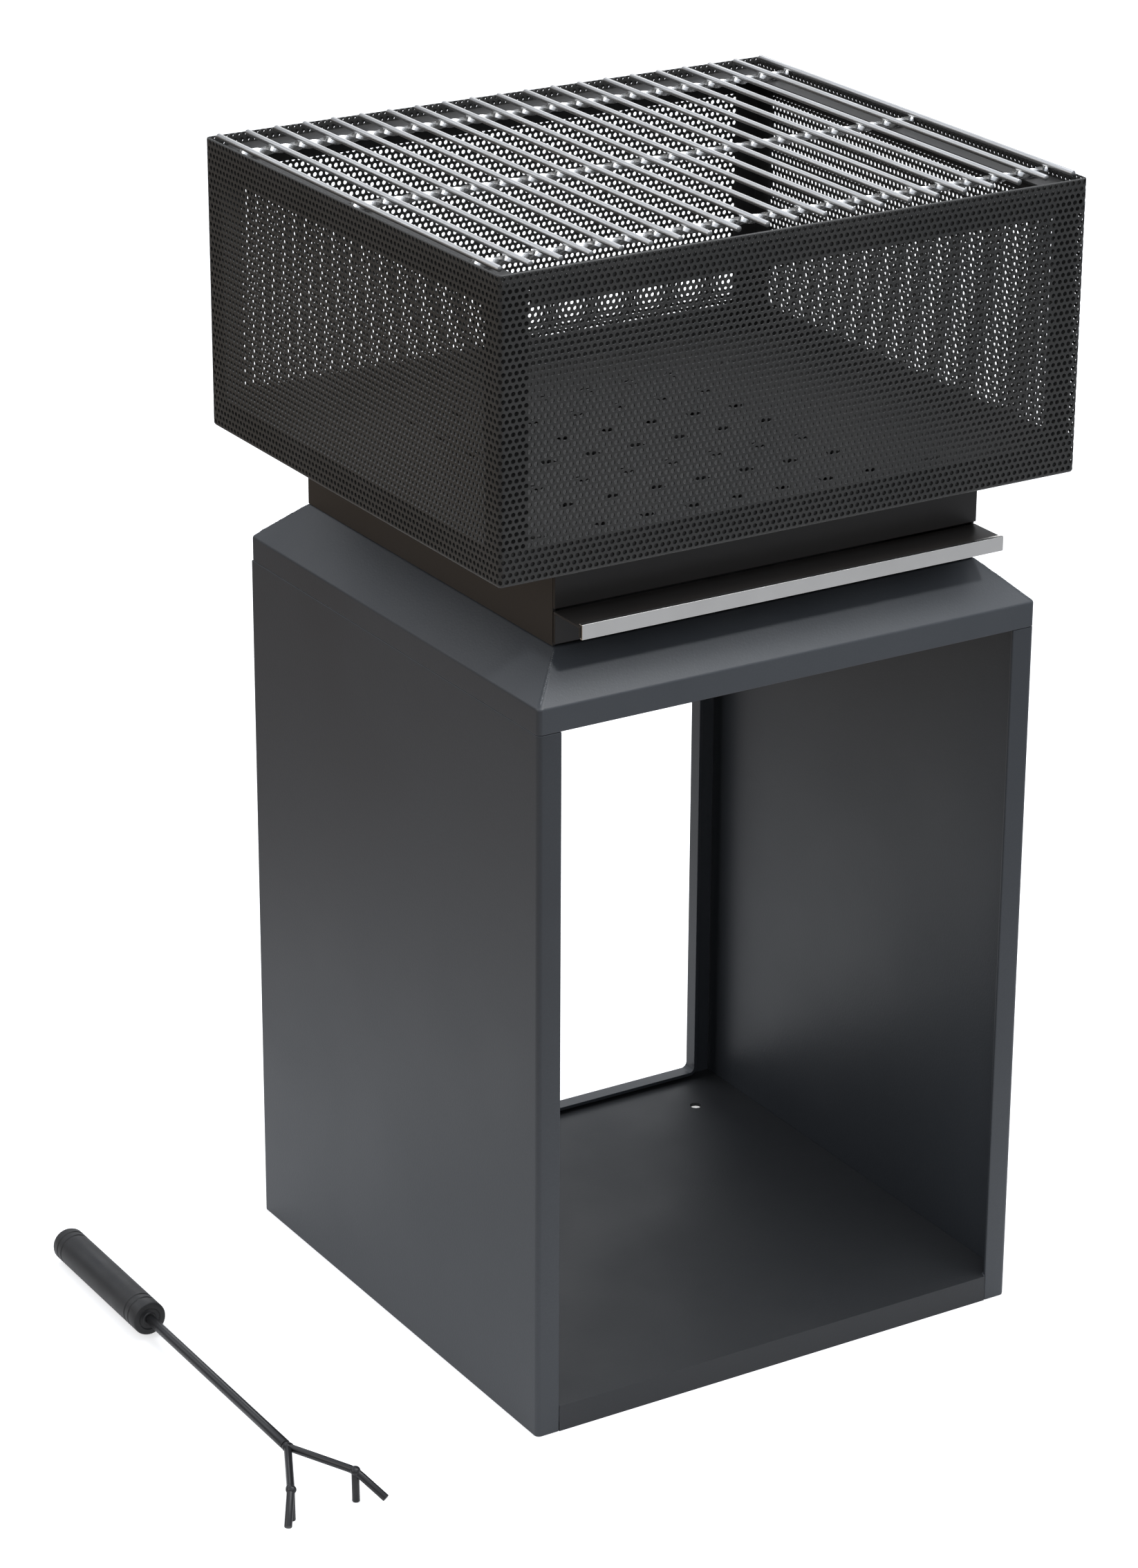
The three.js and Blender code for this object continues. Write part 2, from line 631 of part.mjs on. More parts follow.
// A square rod along X whose section makes a half turn from each bar to the next, with a corner up
// under every bar.
function twistedRod(halfLength, barPitch) {
  const quarters = (4 * halfLength) / barPitch;
  const steps = Math.round(quarters * ROD_STEPS_PER_QUARTER);
  const geometry = new THREE.BoxGeometry(2 * halfLength, ROD_SIDE, ROD_SIDE, steps, 1, 1);
  const position = geometry.attributes.position;
  for (let index = 0; index < position.count; index += 1) {
    const x = position.getX(index);
    const angle = Math.PI / 4 + (x / barPitch) * Math.PI;
    const y = position.getY(index);
    const z = position.getZ(index);
    position.setY(index, y * Math.cos(angle) - z * Math.sin(angle));
    position.setZ(index, y * Math.sin(angle) + z * Math.cos(angle));
  }
  return geometry;
}

function buildGrate() {
  const barPitch = (2 * outerBarX) / (BAR_COUNT - 1);
  for (let index = 0; index < BAR_COUNT; index += 1) {
    const x = -outerBarX + index * barPitch;
    const bar = rod(BAR_DIAMETER / 2, [x, -barHalfLength, barAxisZ], [x, barHalfLength, barAxisZ]);
    addPiece(`grate_bar_${String(index + 1).padStart(2, '0')}`, bar, brightSteel());
  }
  const rodHalf = outerBarX + BAR_DIAMETER / 2;
  const outerRodY = barHalfLength - ROD_OVERHANG;
  for (let index = 0; index < ROD_COUNT; index += 1) {
    const y = -outerRodY + (2 * outerRodY * index) / (ROD_COUNT - 1);
    const rodGeometry = twistedRod(rodHalf, barPitch);
    const cross = addPiece(`grate_cross_rod_${index + 1}`, rodGeometry, brightSteel());
    cross.position.set(0, y, rodAxisZ);
  }
}

// ---- Lifting tool -------------------------------------------------------------------------------

// The tool's own frame: origin at the rear end of the handle, axis forward along -Y.
function gripProfile() {
  const radius = TOOL_HANDLE_DIAMETER / 2;
  const grooveRadius = radius - TOOL_GROOVE_DEPTH;
  const half = TOOL_GROOVE_WIDTH / 2;
  const grooves = [
    ...TOOL_GROOVE_INSETS,
    ...TOOL_GROOVE_INSETS.map((inset) => TOOL_HANDLE_LENGTH - inset).reverse(),
  ];
  const mouth = radius - TOOL_HANDLE_MOUTH_CHAMFER;
  const points = [[0, 0], [radius - TOOL_HANDLE_END_CHAMFER, 0], [radius, TOOL_HANDLE_END_CHAMFER]];
  for (const at of grooves) {
    points.push([radius, at - half], [grooveRadius, at], [radius, at + half]);
  }
  points.push([radius, TOOL_HANDLE_LENGTH - TOOL_HANDLE_MOUTH_CHAMFER], [mouth, TOOL_HANDLE_LENGTH]);
  points.push([0, TOOL_HANDLE_LENGTH]);
  return points.map(([r, along]) => new THREE.Vector2(r, along));
}

// One fork: two prongs with down-turned tips that meet at the shaft's end, and a foot under each knee.
function forkPiece(start, footBottom) {
  const radius = TOOL_PRONG_DIAMETER / 2;
  const pieces = [
    new THREE.SphereGeometry(radius, ROUND_SIDES, BALL_RINGS).translate(0, start, 0)];
  for (const [, sign] of SIDES) {
    const knee = [sign * TOOL_PRONG_SPREAD, start - TOOL_PRONG_REACH, 0];
    const tip = [
      knee[0] + sign * TOOL_TIP_SPREAD, knee[1] - TOOL_TIP_REACH, knee[2] - TOOL_TIP_DROP];
    pieces.push(rod(radius, [0, start, 0], knee));
    pieces.push(new THREE.SphereGeometry(radius, ROUND_SIDES, BALL_RINGS).translate(...knee));
    pieces.push(rod(radius, knee, tip));
    pieces.push(rod(radius, [knee[0], knee[1], footBottom], knee));
  }
  return joined(pieces);
}

function buildTool() {
  const tool = new THREE.Group();
  firePit.add(tool);
  const gripRadius = TOOL_HANDLE_DIAMETER / 2;
  const shaftStart = -TOOL_HANDLE_LENGTH - SEAT_GAP;
  const shaftEnd = shaftStart - TOOL_SHAFT_LENGTH;
  const forkStart = shaftEnd - SEAT_GAP - TOOL_PRONG_DIAMETER / 2;
  const kneeAt = forkStart - TOOL_PRONG_REACH;
  const tilt = Math.asin((TOOL_KNEE_HEIGHT - gripRadius) / -kneeAt);
  const kneeHeight = TOOL_KNEE_HEIGHT - gripRadius * (1 - Math.cos(tilt));
  const footEdgeDrop = (TOOL_PRONG_DIAMETER / 2) * Math.sin(tilt);
  const footBottom = -(kneeHeight - footEdgeDrop) / Math.cos(tilt);
  tool.position.set(-plinthX - TOOL_GAP, TOOL_HANDLE_BACK, gripRadius * Math.cos(tilt));
  tool.rotation.set(-tilt, 0, THREE.MathUtils.degToRad(TOOL_TURN_DEGREES), 'ZXY');
  const grip = new THREE.LatheGeometry(gripProfile(), GRIP_SIDES).rotateX(Math.PI);
  addPiece('tool_grip', grip, tubeGrip(), tool);
  const shaft = rod(TOOL_SHAFT_DIAMETER / 2, [0, shaftStart, 0], [0, shaftEnd, 0]);
  addPiece('tool_shaft', shaft, heatBlack(), tool);
  addPiece('tool_fork', forkPiece(forkStart, footBottom), heatBlack(), tool);
}

buildPlinth();
buildNeck();
buildDrawer();
buildBasket();
buildGrate();
buildTool();

export default firePit;
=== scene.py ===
"""Finishes a wood-burning fire pit: plinth, housing, ash drawer, perforated basket, grate and tool.

Metres, +Z up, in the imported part's own frame. X runs along the drawer side and -Y is the front.
"""

import logging  # noqa: E402
import math  # noqa: E402
import random  # noqa: E402
from dataclasses import dataclass, field  # noqa: E402
from enum import Enum  # noqa: E402
from typing import Callable, Optional, Sequence, Union  # noqa: E402

import bmesh  # noqa: E402
import bpy  # noqa: E402
from mathutils import Matrix, Vector, noise  # noqa: E402


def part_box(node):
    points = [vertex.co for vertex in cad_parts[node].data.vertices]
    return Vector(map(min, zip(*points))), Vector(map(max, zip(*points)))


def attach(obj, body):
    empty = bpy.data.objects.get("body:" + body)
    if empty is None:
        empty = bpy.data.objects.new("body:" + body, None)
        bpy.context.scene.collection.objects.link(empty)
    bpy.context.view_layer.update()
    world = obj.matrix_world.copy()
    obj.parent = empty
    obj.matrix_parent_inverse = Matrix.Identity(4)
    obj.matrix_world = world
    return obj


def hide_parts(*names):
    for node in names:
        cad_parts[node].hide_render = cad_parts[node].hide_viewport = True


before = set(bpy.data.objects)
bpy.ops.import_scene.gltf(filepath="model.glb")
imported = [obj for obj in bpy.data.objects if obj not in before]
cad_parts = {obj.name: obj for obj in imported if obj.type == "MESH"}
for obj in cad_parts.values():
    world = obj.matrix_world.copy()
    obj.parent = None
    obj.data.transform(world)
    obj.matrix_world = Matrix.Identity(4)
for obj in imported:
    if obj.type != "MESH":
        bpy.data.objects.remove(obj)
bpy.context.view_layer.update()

LOG = logging.getLogger("fire_pit")
MM = 0.001
WELD_DISTANCE = 0.00001
WELD_SMOOTHING = 60.0
ORIGIN = Vector((0, 0, 0))
ACROSS = Vector((1, 0, 0))
UP_SHEET = Vector((0, 1, 0))

Colour = tuple[float, float, float, float]
Socket = bpy.types.NodeSocket
Value = Union[float, Sequence[float], Socket]


class Slot(Enum):
    """The record's material slots."""

    PLINTH = "plinth_coat"
    HOUSING = "housing_black"
    MESH = "mesh_black"
    FIREBOX = "firebox_black"
    GRATE = "grate_steel"
    TRIM = "trim_polished"
    GRIP = "tool_grip_black"
    TOOL = "tool_black"


class Body(Enum):
    """The bodies that move apart from each other."""

    STAND = "stand"
    DRAWER = "ash_drawer"
    GRATE = "grate"
    TOOL = "lifting_tool"


# ---- Shader effects shared by several finishes --------------------------------------------------


class Tree:
    """Places and links the nodes of one node tree."""

    def __init__(self, tree: bpy.types.NodeTree) -> None:
        """Takes over an empty tree.

        Args:
            tree: The node tree to fill.
        """
        self.tree = tree

    def node(self, kind: str, settings: Optional[dict] = None, **inputs: Value) -> bpy.types.Node:
        """Adds one node.

        Args:
            kind: Blender's name for the node type.
            settings: Node properties by name.
            inputs: Input sockets by name, with underscores for spaces. A socket value is linked.

        Returns:
            The new node.
        """
        made = self.tree.nodes.new(kind)
        for name, value in (settings or {}).items():
            setattr(made, name, value)
        for name, value in inputs.items():
            self.feed(made.inputs[name.replace("_", " ")], value)
        return made

    def feed(self, socket: Socket, value: Value) -> None:
        """Links or sets one input.

        Args:
            socket: The input.
            value: An output socket to link, or a plain value.
        """
        if isinstance(value, bpy.types.NodeSocket):
            self.tree.links.new(value, socket)
        else:
            socket.default_value = value

    def math(self, operation: str, first: Value, second: Value = 0.0) -> Socket:
        """Adds a Math node.

        Args:
            operation: The operation's name.
            first: First value.
            second: Second value.

        Returns:
            The node's output.
        """
        made = self.tree.nodes.new("ShaderNodeMath")
        made.operation = operation
        self.feed(made.inputs[0], first)
        self.feed(made.inputs[1], second)
        return made.outputs[0]

    def ranged(self, value: Socket, low: float, high: float, to_low: float, to_high: float) -> Socket:
        """Maps a value from one range to another, clamped.

        Args:
            value: The value to map.
            low: Start of the range it comes from.
            high: End of the range it comes from.
            to_low: What the start becomes.
            to_high: What the end becomes.

        Returns:
            The mapped value.
        """
        made = self.node("ShaderNodeMapRange", Value=value, From_Min=low, From_Max=high,
                         To_Min=to_low, To_Max=to_high)
        return made.outputs["Result"]

    def blended(self, factor: Value, first: Value, second: Value) -> Socket:
        """Mixes two colours.

        Args:
            factor: How much of the second colour shows.
            first: Colour at 0.
            second: Colour at 1.

        Returns:
            The mixed colour.
        """
        made = self.tree.nodes.new("ShaderNodeMix")
        made.data_type = "RGBA"
        self.feed(made.inputs[0], factor)
        self.feed(made.inputs[6], first)
        self.feed(made.inputs[7], second)
        return made.outputs[2]

    def placed(self, group: bpy.types.NodeTree, **inputs: Value) -> bpy.types.Node:
        """Places a node group and feeds its inputs."""
        return self.node("ShaderNodeGroup", {"node_tree": group}, **inputs)

    def noise(self, vector: Socket, scale: Value, detail: float, roughness: float) -> Socket:
        """Adds a noise texture.

        Args:
            vector: Where it is read.
            scale: Features per metre.
            detail: Number of finer layers.
            roughness: Weight of the finer layers.

        Returns:
            The noise value, around 0.5.
        """
        made = self.node("ShaderNodeTexNoise", Vector=vector, Scale=scale, Detail=detail,
                         Roughness=roughness)
        return made.outputs["Fac"]


@dataclass
class Effects:
    """Node groups that more than one finish places, each built once."""

    built: dict[str, bpy.types.NodeTree] = field(default_factory=dict)

    def group(self, name: str, inputs: dict[str, str], outputs: Sequence[str],
              fill: Callable[[Tree, dict[str, Socket]], dict[str, Socket]]) -> bpy.types.NodeTree:
        """Returns a group, and builds it the first time.

        Args:
            name: The group's name.
            inputs: Socket type of each input by name.
            outputs: Names of the outputs, which are all values.
            fill: Makes the inside and returns the socket for each output.

        Returns:
            The node group.
        """
        if name not in self.built:
            tree = bpy.data.node_groups.new(name, "ShaderNodeTree")
            for label, kind in inputs.items():
                tree.interface.new_socket(name=label, in_out="INPUT", socket_type=kind)
            for label in outputs:
                tree.interface.new_socket(name=label, in_out="OUTPUT", socket_type="NodeSocketFloat")
            start = tree.nodes.new("NodeGroupInput")
            end = tree.nodes.new("NodeGroupOutput")
            results = fill(Tree(tree), {label: start.outputs[label] for label in inputs})
            for label, socket in results.items():
                tree.links.new(socket, end.inputs[label])
            self.built[name] = tree
        return self.built[name]

    def powder_grain(self) -> bpy.types.NodeTree:
        """Builds the fine orange-peel grain and the broad tone patches of a sprayed coat."""

        def fill(tree: Tree, ins: dict[str, Socket]) -> dict[str, Socket]:
            """Fills the group."""
            fine = tree.noise(ins["Vector"], ins["Grain Scale"], 2.0, 0.6)
            cells = tree.node("ShaderNodeTexVoronoi", {"feature": "SMOOTH_F1"}, Vector=ins["Vector"],
                              Scale=ins["Grain Scale"], Smoothness=0.8)
            peel = tree.math("MULTIPLY", cells.outputs["Distance"], 0.6)
            grain = tree.math("ADD", tree.math("MULTIPLY", fine, 0.7), peel)
            patches = tree.noise(ins["Vector"], ins["Patch Scale"], 4.0, 0.55)
            return {"Grain": grain, "Patches": tree.ranged(patches, 0.3, 0.7, 0.0, 1.0)}

        kinds = {"Vector": "NodeSocketVector", "Grain Scale": "NodeSocketFloat",
                 "Patch Scale": "NodeSocketFloat"}
        return self.group("powder_grain", kinds, ["Grain", "Patches"], fill)

    def settled_dust(self) -> bpy.types.NodeTree:
        """Builds a mask of fine dust on faces that look up, with rubbed gaps in it."""

        def fill(tree: Tree, ins: dict[str, Socket]) -> dict[str, Socket]:
            """Fills the group."""
            upward = tree.node("ShaderNodeSeparateXYZ", Vector=ins["Normal"]).outputs["Z"]
            facing = tree.ranged(upward, 0.2, 0.95, 0.0, 1.0)
            clouds = tree.ranged(tree.noise(ins["Vector"], 9.0, 5.0, 0.6), 0.42, 0.7, 0.0, 1.0)
            specks = tree.ranged(tree.noise(ins["Vector"], 700.0, 2.0, 0.5), 0.62, 0.72, 0.0, 1.0)
            mix = tree.math("ADD", tree.math("MULTIPLY", clouds, 0.7), tree.math("MULTIPLY", specks, 0.5))
            return {"Dust": tree.math("MULTIPLY", tree.math("MULTIPLY", mix, facing), ins["Amount"])}

        kinds = {"Vector": "NodeSocketVector", "Normal": "NodeSocketVector", "Amount": "NodeSocketFloat"}
        return self.group("settled_dust", kinds, ["Dust"], fill)

    def drawn_lines(self) -> bpy.types.NodeTree:
        """Builds the fine lines that drawing or rolling leaves on bare steel, and cloudy stains."""

        def fill(tree: Tree, ins: dict[str, Socket]) -> dict[str, Socket]:
            """Fills the group."""
            stretched = tree.node("ShaderNodeVectorMath", {"operation": "MULTIPLY"})
            tree.feed(stretched.inputs[0], ins["Vector"])
            tree.feed(stretched.inputs[1], ins["Stretch"])
            lines = tree.noise(stretched.outputs[0], 1.0, 3.0, 0.7)
            clouds = tree.noise(ins["Vector"], ins["Stain Scale"], 4.0, 0.6)
            return {"Lines": lines, "Stains": tree.ranged(clouds, 0.4, 0.68, 0.0, 1.0)}

        kinds = {"Vector": "NodeSocketVector", "Stretch": "NodeSocketVector",
                 "Stain Scale": "NodeSocketFloat"}
        return self.group("drawn_lines", kinds, ["Lines", "Stains"], fill)


EFFECTS = Effects()


# ---- Finishes -----------------------------------------------------------------------------------


def principled(name: str) -> tuple[bpy.types.Material, Tree, bpy.types.Node, Socket]:
    """Starts a material.

    Args:
        name: The material's name.

    Returns:
        The material, its tree, its Principled shader and the Object coordinates.
    """
    material = bpy.data.materials.new(name)
    material.use_nodes = True
    tree = Tree(material.node_tree)
    shader = material.node_tree.nodes["Principled BSDF"]
    place = tree.node("ShaderNodeTexCoord").outputs["Object"]
    return material, tree, shader, place


@dataclass(frozen=True)
class SprayedCoat:
    """A powder coat or heat paint sprayed on sheet steel."""

    name: str
    slot: Slot
    tone: Colour
    second_tone: Colour
    roughness: tuple[float, float]
    specular: float = 0.5
    grain_scale: float = 900.0
    grain_height: float = 0.00005
    patch_scale: float = 7.0
    dust: float = 0.15
    dust_tone: Colour = (0.16, 0.155, 0.145, 1.0)

    def material(self) -> bpy.types.Material:
        """Builds the coat's material."""
        material, tree, shader, place = principled(self.name)
        coat = tree.placed(EFFECTS.powder_grain(), Vector=place, Grain_Scale=self.grain_scale,
                           Patch_Scale=self.patch_scale)
        normal = tree.node("ShaderNodeNewGeometry").outputs["Normal"]
        dust = tree.placed(EFFECTS.settled_dust(), Vector=place, Normal=normal, Amount=self.dust)
        mottled = tree.math("MULTIPLY", coat.outputs["Patches"], tree.ranged(
            coat.outputs["Grain"], 0.35, 0.85, 0.3, 1.0))
        paint = tree.blended(mottled, self.tone, self.second_tone)
        tree.feed(shader.inputs["Base Color"], tree.blended(dust.outputs["Dust"], paint, self.dust_tone))
        gloss = tree.ranged(coat.outputs["Patches"], 0.0, 1.0, *self.roughness)
        tree.feed(shader.inputs["Roughness"], tree.math("ADD", gloss, tree.math(
            "MULTIPLY", dust.outputs["Dust"], 0.3)))
        shader.inputs["Specular IOR Level"].default_value = self.specular
        bump = tree.node("ShaderNodeBump", Strength=0.6, Distance=self.grain_height,
                         Height=coat.outputs["Grain"])
        tree.feed(shader.inputs["Normal"], bump.outputs["Normal"])
        return material


@dataclass(frozen=True)
class BareSteel:
    """Uncoated steel with drawn or polished lines along one direction."""

    name: str
    slot: Slot
    tint: Colour
    stain: Colour
    roughness: tuple[float, float]
    stretch: tuple[float, float, float]
    line_height: float
    stain_share: float = 0.5
    stain_scale: float = 14.0

    def material(self) -> bpy.types.Material:
        """Builds the steel's material."""
        material, tree, shader, place = principled(self.name)
        drawn = tree.placed(EFFECTS.drawn_lines(), Vector=place, Stretch=self.stretch,
                            Stain_Scale=self.stain_scale)
        share = tree.math("MULTIPLY", drawn.outputs["Stains"], self.stain_share)
        tree.feed(shader.inputs["Base Color"], tree.blended(share, self.tint, self.stain))
        lined = tree.ranged(drawn.outputs["Lines"], 0.3, 0.7, *self.roughness)
        tree.feed(shader.inputs["Roughness"], tree.math("ADD", lined, tree.math("MULTIPLY", share, 0.15)))
        shader.inputs["Metallic"].default_value = 1.0
        bump = tree.node("ShaderNodeBump", Strength=0.5, Distance=self.line_height,
                         Height=drawn.outputs["Lines"])
        tree.feed(shader.inputs["Normal"], bump.outputs["Normal"])
        return material


@dataclass(frozen=True)
class Finishes:
    """Every finish on the object."""

    plinth: SprayedCoat = SprayedCoat(
        "anthracite_powder_coat", Slot.PLINTH, (0.040, 0.045, 0.052, 1), (0.050, 0.055, 0.062, 1),
        (0.40, 0.48), grain_scale=620.0, grain_height=0.00011, dust=0.12)
    # Same powder coat as the plinth, painted darker: painted shade for the floor inside the log store.
    log_floor_painted_shade: SprayedCoat = SprayedCoat(
        "log_floor_coat_painted_shade", Slot.PLINTH, (0.024, 0.0255, 0.028, 1), (0.031, 0.033, 0.036, 1),
        (0.50, 0.62), grain_scale=620.0, grain_height=0.00011, dust=0.06)
    # Lighter than the plinth coat: partly the thin coat over the ground weld, partly a painted highlight
    # along the mitre.
    seam: SprayedCoat = SprayedCoat(
        "ground_seam_coat_and_painted_highlight", Slot.PLINTH, (0.050, 0.055, 0.060, 1), (0.120, 0.128, 0.138, 1),
        (0.24, 0.44), grain_scale=420.0, grain_height=0.00022, patch_scale=95.0, dust=0.05)
    housing: SprayedCoat = SprayedCoat(
        "satin_black_coat", Slot.HOUSING, (0.0215, 0.0188, 0.0168, 1), (0.0285, 0.0248, 0.0218, 1),
        (0.34, 0.42), grain_scale=1100.0, grain_height=0.00003, dust=0.06)
    mesh: SprayedCoat = SprayedCoat(
        "perforated_sheet_coat", Slot.MESH, (0.030, 0.030, 0.0285, 1), (0.045, 0.0435, 0.041, 1),
        (0.42, 0.52), grain_scale=1400.0, grain_height=0.00004, patch_scale=11.0, dust=0.1)
    firebox: SprayedCoat = SprayedCoat(
        "heat_resistant_paint", Slot.FIREBOX, (0.020, 0.020, 0.020, 1), (0.034, 0.033, 0.031, 1),
        (0.5, 0.66), grain_scale=700.0, grain_height=0.00009, patch_scale=13.0, dust=0.25,
        dust_tone=(0.09, 0.085, 0.08, 1.0))
    bars: BareSteel = BareSteel(
        "drawn_steel_bars", Slot.GRATE, (0.64, 0.64, 0.635, 1), (0.46, 0.455, 0.44, 1), (0.28, 0.40),
        (2200.0, 25.0, 2200.0), 0.00002)
    rods: BareSteel = BareSteel(
        "twisted_steel_rods", Slot.GRATE, (0.86, 0.86, 0.85, 1), (0.70, 0.69, 0.675, 1), (0.20, 0.32),
        (60.0, 1500.0, 1500.0), 0.00002)
    trim: BareSteel = BareSteel(
        "polished_trim_steel", Slot.TRIM, (0.83, 0.81, 0.78, 1), (0.71, 0.69, 0.655, 1), (0.08, 0.13),
        (30.0, 2500.0, 2500.0), 0.000006, 0.4, 22.0)
    tool: SprayedCoat = SprayedCoat(
        "tool_black_coat", Slot.TOOL, (0.011, 0.011, 0.012, 1), (0.016, 0.016, 0.017, 1),
        (0.24, 0.36), grain_scale=1300.0, grain_height=0.00004, patch_scale=30.0, dust=0.1)
    grip: SprayedCoat = SprayedCoat(
        "tool_grip_cover", Slot.GRIP, (0.012, 0.012, 0.0125, 1), (0.018, 0.0175, 0.0175, 1),
        (0.42, 0.56), grain_scale=1000.0, grain_height=0.00008, patch_scale=40.0, dust=0.2)


Finish = Union[SprayedCoat, BareSteel]
FINISHES = Finishes()
MATERIALS: dict[str, bpy.types.Material] = {}


def material_of(finish: Finish) -> bpy.types.Material:
    """Returns a finish's material, and builds it the first time."""
    if finish.name not in MATERIALS:
        MATERIALS[finish.name] = finish.material()
    return MATERIALS[finish.name]


# ---- Mesh helpers -------------------------------------------------------------------------------


def everything(bm: bmesh.types.BMesh) -> list:
    """Lists all of a mesh's vertices, edges and faces."""
    return [*bm.verts, *bm.edges, *bm.faces]


def publish(bm: bmesh.types.BMesh, name: str, finish: Finish, body: Body,
            stands_for: Sequence[str] = (), smooth_below: float = 35.0,
            flat_faces: bool = False) -> bpy.types.Object:
    """Turns a finished bmesh into a piece of the object.

    Args:
        bm: The shape, in the part's frame. It is freed.
        name: The piece's name.
        finish: Its finish.
        body: The body it rides on.
        stands_for: CAD nodes it replaces.
        smooth_below: Edges that turn less than this many degrees are shaded smooth.
        flat_faces: Whether its large flat faces are kept evenly shaded up to their rounded edges.

    Returns:
        The new object.
    """
    mesh = bpy.data.meshes.new(name)
    bm.to_mesh(mesh)
    bm.free()
    mesh.polygons.foreach_set("use_smooth", [True] * len(mesh.polygons))
    mesh.set_sharp_from_angle(angle=math.radians(smooth_below))
    mesh.materials.append(material_of(finish))
    piece = bpy.data.objects.new(name, mesh)
    bpy.context.scene.collection.objects.link(piece)
    if flat_faces:
        piece.modifiers.new("even_shading", "WEIGHTED_NORMAL").keep_sharp = True
    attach(piece, body.value)
    if stands_for:
        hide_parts(*stands_for)
    triangles = sum(len(face.vertices) - 2 for face in mesh.polygons)
    LOG.info("%s: %d triangles on %s", name, triangles, body.value)
    return piece


def cad_copy(node: str) -> bmesh.types.BMesh:
    """Copies a CAD node's mesh, merged and with its flat faces joined.

    Args:
        node: The CAD node's name.

    Returns:
        The copy.
    """
    bm = bmesh.new()
    bm.from_mesh(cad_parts[node].data)
    bmesh.ops.remove_doubles(bm, verts=bm.verts, dist=WELD_DISTANCE)
    bmesh.ops.dissolve_limit(bm, angle_limit=math.radians(1), verts=bm.verts, edges=bm.edges)
    return bm


def bevel(bm: bmesh.types.BMesh, geom: list, offset: float, segments: int = 2,
          affect: str = "EDGES") -> None:
    """Rounds some edges or corners.

    Args:
        bm: The mesh.
        geom: The edges, or the corners' vertices.
        offset: Width of the rounding.
        segments: Number of facets across it.
        affect: EDGES or VERTICES.
    """
    bmesh.ops.bevel(bm, geom=geom, offset=offset, offset_type="OFFSET", segments=segments, profile=0.5,
                    affect=affect, clamp_overlap=True, material=-1)


def repeat(bm: bmesh.types.BMesh, step: Sequence[float], count: int) -> None:
    """Copies a whole mesh in a row.

    Args:
        bm: The mesh.
        step: From one copy to the next.
        count: How many copies are added.
    """
    bmesh.ops.spin(bm, geom=everything(bm), cent=ORIGIN, axis=(0, 0, 1), dvec=step, angle=0.0,
                   steps=count, use_duplicate=True)


def soften(bm: bmesh.types.BMesh, radius: float, segments: int = 2, sharper_than: float = 35.0) -> None:
    """Rounds a mesh's sharp edges, as a thick coat on a sheet's edge does.

    Args:
        bm: The mesh.
        radius: Width of the rounding.
        segments: Number of facets across it.
        sharper_than: Only edges that turn by more than this many degrees are rounded.
    """
    limit = math.radians(sharper_than)
    sharp = [edge for edge in bm.edges if len(edge.link_faces) == 2 and edge.calc_face_angle(0.0) > limit]
    bevel(bm, sharp, radius, segments)


def dress(node: str, name: str, finish: Finish, body: Body, radius: float, segments: int = 2) -> None:
    """Turns a folded CAD sheet into a piece with rounded edges.

    Args:
        node: The CAD node.
        name: The piece's name.
        finish: Its finish.
        body: The body it rides on.
        radius: Rounding of its edges.
        segments: Number of facets across the rounding.
    """
    bm = cad_copy(node)
    soften(bm, radius, segments)
    publish(bm, name, finish, body, [node], flat_faces=True)


def extend(bm: bmesh.types.BMesh, edges: Sequence[bmesh.types.BMEdge]) -> tuple[list, list]:
    """Grows a strip of faces from a row of edges.

    Args:
        bm: The mesh.
        edges: The edges.

    Returns:
        The new vertices and the new edges, which still lie on the old ones.
    """
    grown = bmesh.ops.extrude_edge_only(bm, edges=edges)["geom"]
    verts = [item for item in grown if isinstance(item, bmesh.types.BMVert)]
    return verts, [item for item in grown if isinstance(item, bmesh.types.BMEdge)]


def lathe(profile: Sequence[tuple[float, float]], steps: int) -> bmesh.types.BMesh:
    """Spins a profile round the Z axis into a closed solid.

    Args:
        profile: Points as (radius, height).
        steps: Number of sides.

    Returns:
        The solid.
    """
    bm = bmesh.new()
    verts = [bm.verts.new((radius, 0.0, height)) for radius, height in profile]
    edges = [bm.edges.new(pair) for pair in zip(verts, verts[1:])]
    bmesh.ops.spin(bm, geom=[*verts, *edges], cent=(0, 0, 0), axis=(0, 0, 1), dvec=(0, 0, 0),
                   angle=math.tau, steps=steps, use_merge=True)
    bmesh.ops.remove_doubles(bm, verts=bm.verts, dist=1e-6)
    bmesh.ops.recalc_face_normals(bm, faces=bm.faces)
    return bm


def axis_frame(place: Vector, direction: Vector, turn: float = 0.0) -> Matrix:
    """Makes a frame whose Z axis points along a direction.

    Args:
        place: Its origin.
        direction: Where Z points.
        turn: Rotation about that axis, in radians.

    Returns:
        The frame as a matrix.
    """
    spin = direction.to_track_quat("Z", "Y").to_matrix().to_4x4()
    return Matrix.Translation(place) @ spin @ Matrix.Rotation(turn, 4, "Z")


def sweep(bm: bmesh.types.BMesh, frames: Sequence[Matrix]) -> None:
    """Extrudes a section through a row of frames and closes both ends.

    Args:
        bm: The mesh, which holds only the section, already lying in the first frame.
        frames: The frames it passes through.
    """
    bm.faces.ensure_lookup_table()
    face = bm.faces[0]
    for before, after in zip(frames, frames[1:]):
        grown = bmesh.ops.extrude_face_region(bm, geom=[face])["geom"]
        face = next(item for item in grown if isinstance(item, bmesh.types.BMFace))
        bmesh.ops.transform(bm, matrix=after @ before.inverted(), verts=list(face.verts))
    bmesh.ops.recalc_face_normals(bm, faces=bm.faces)


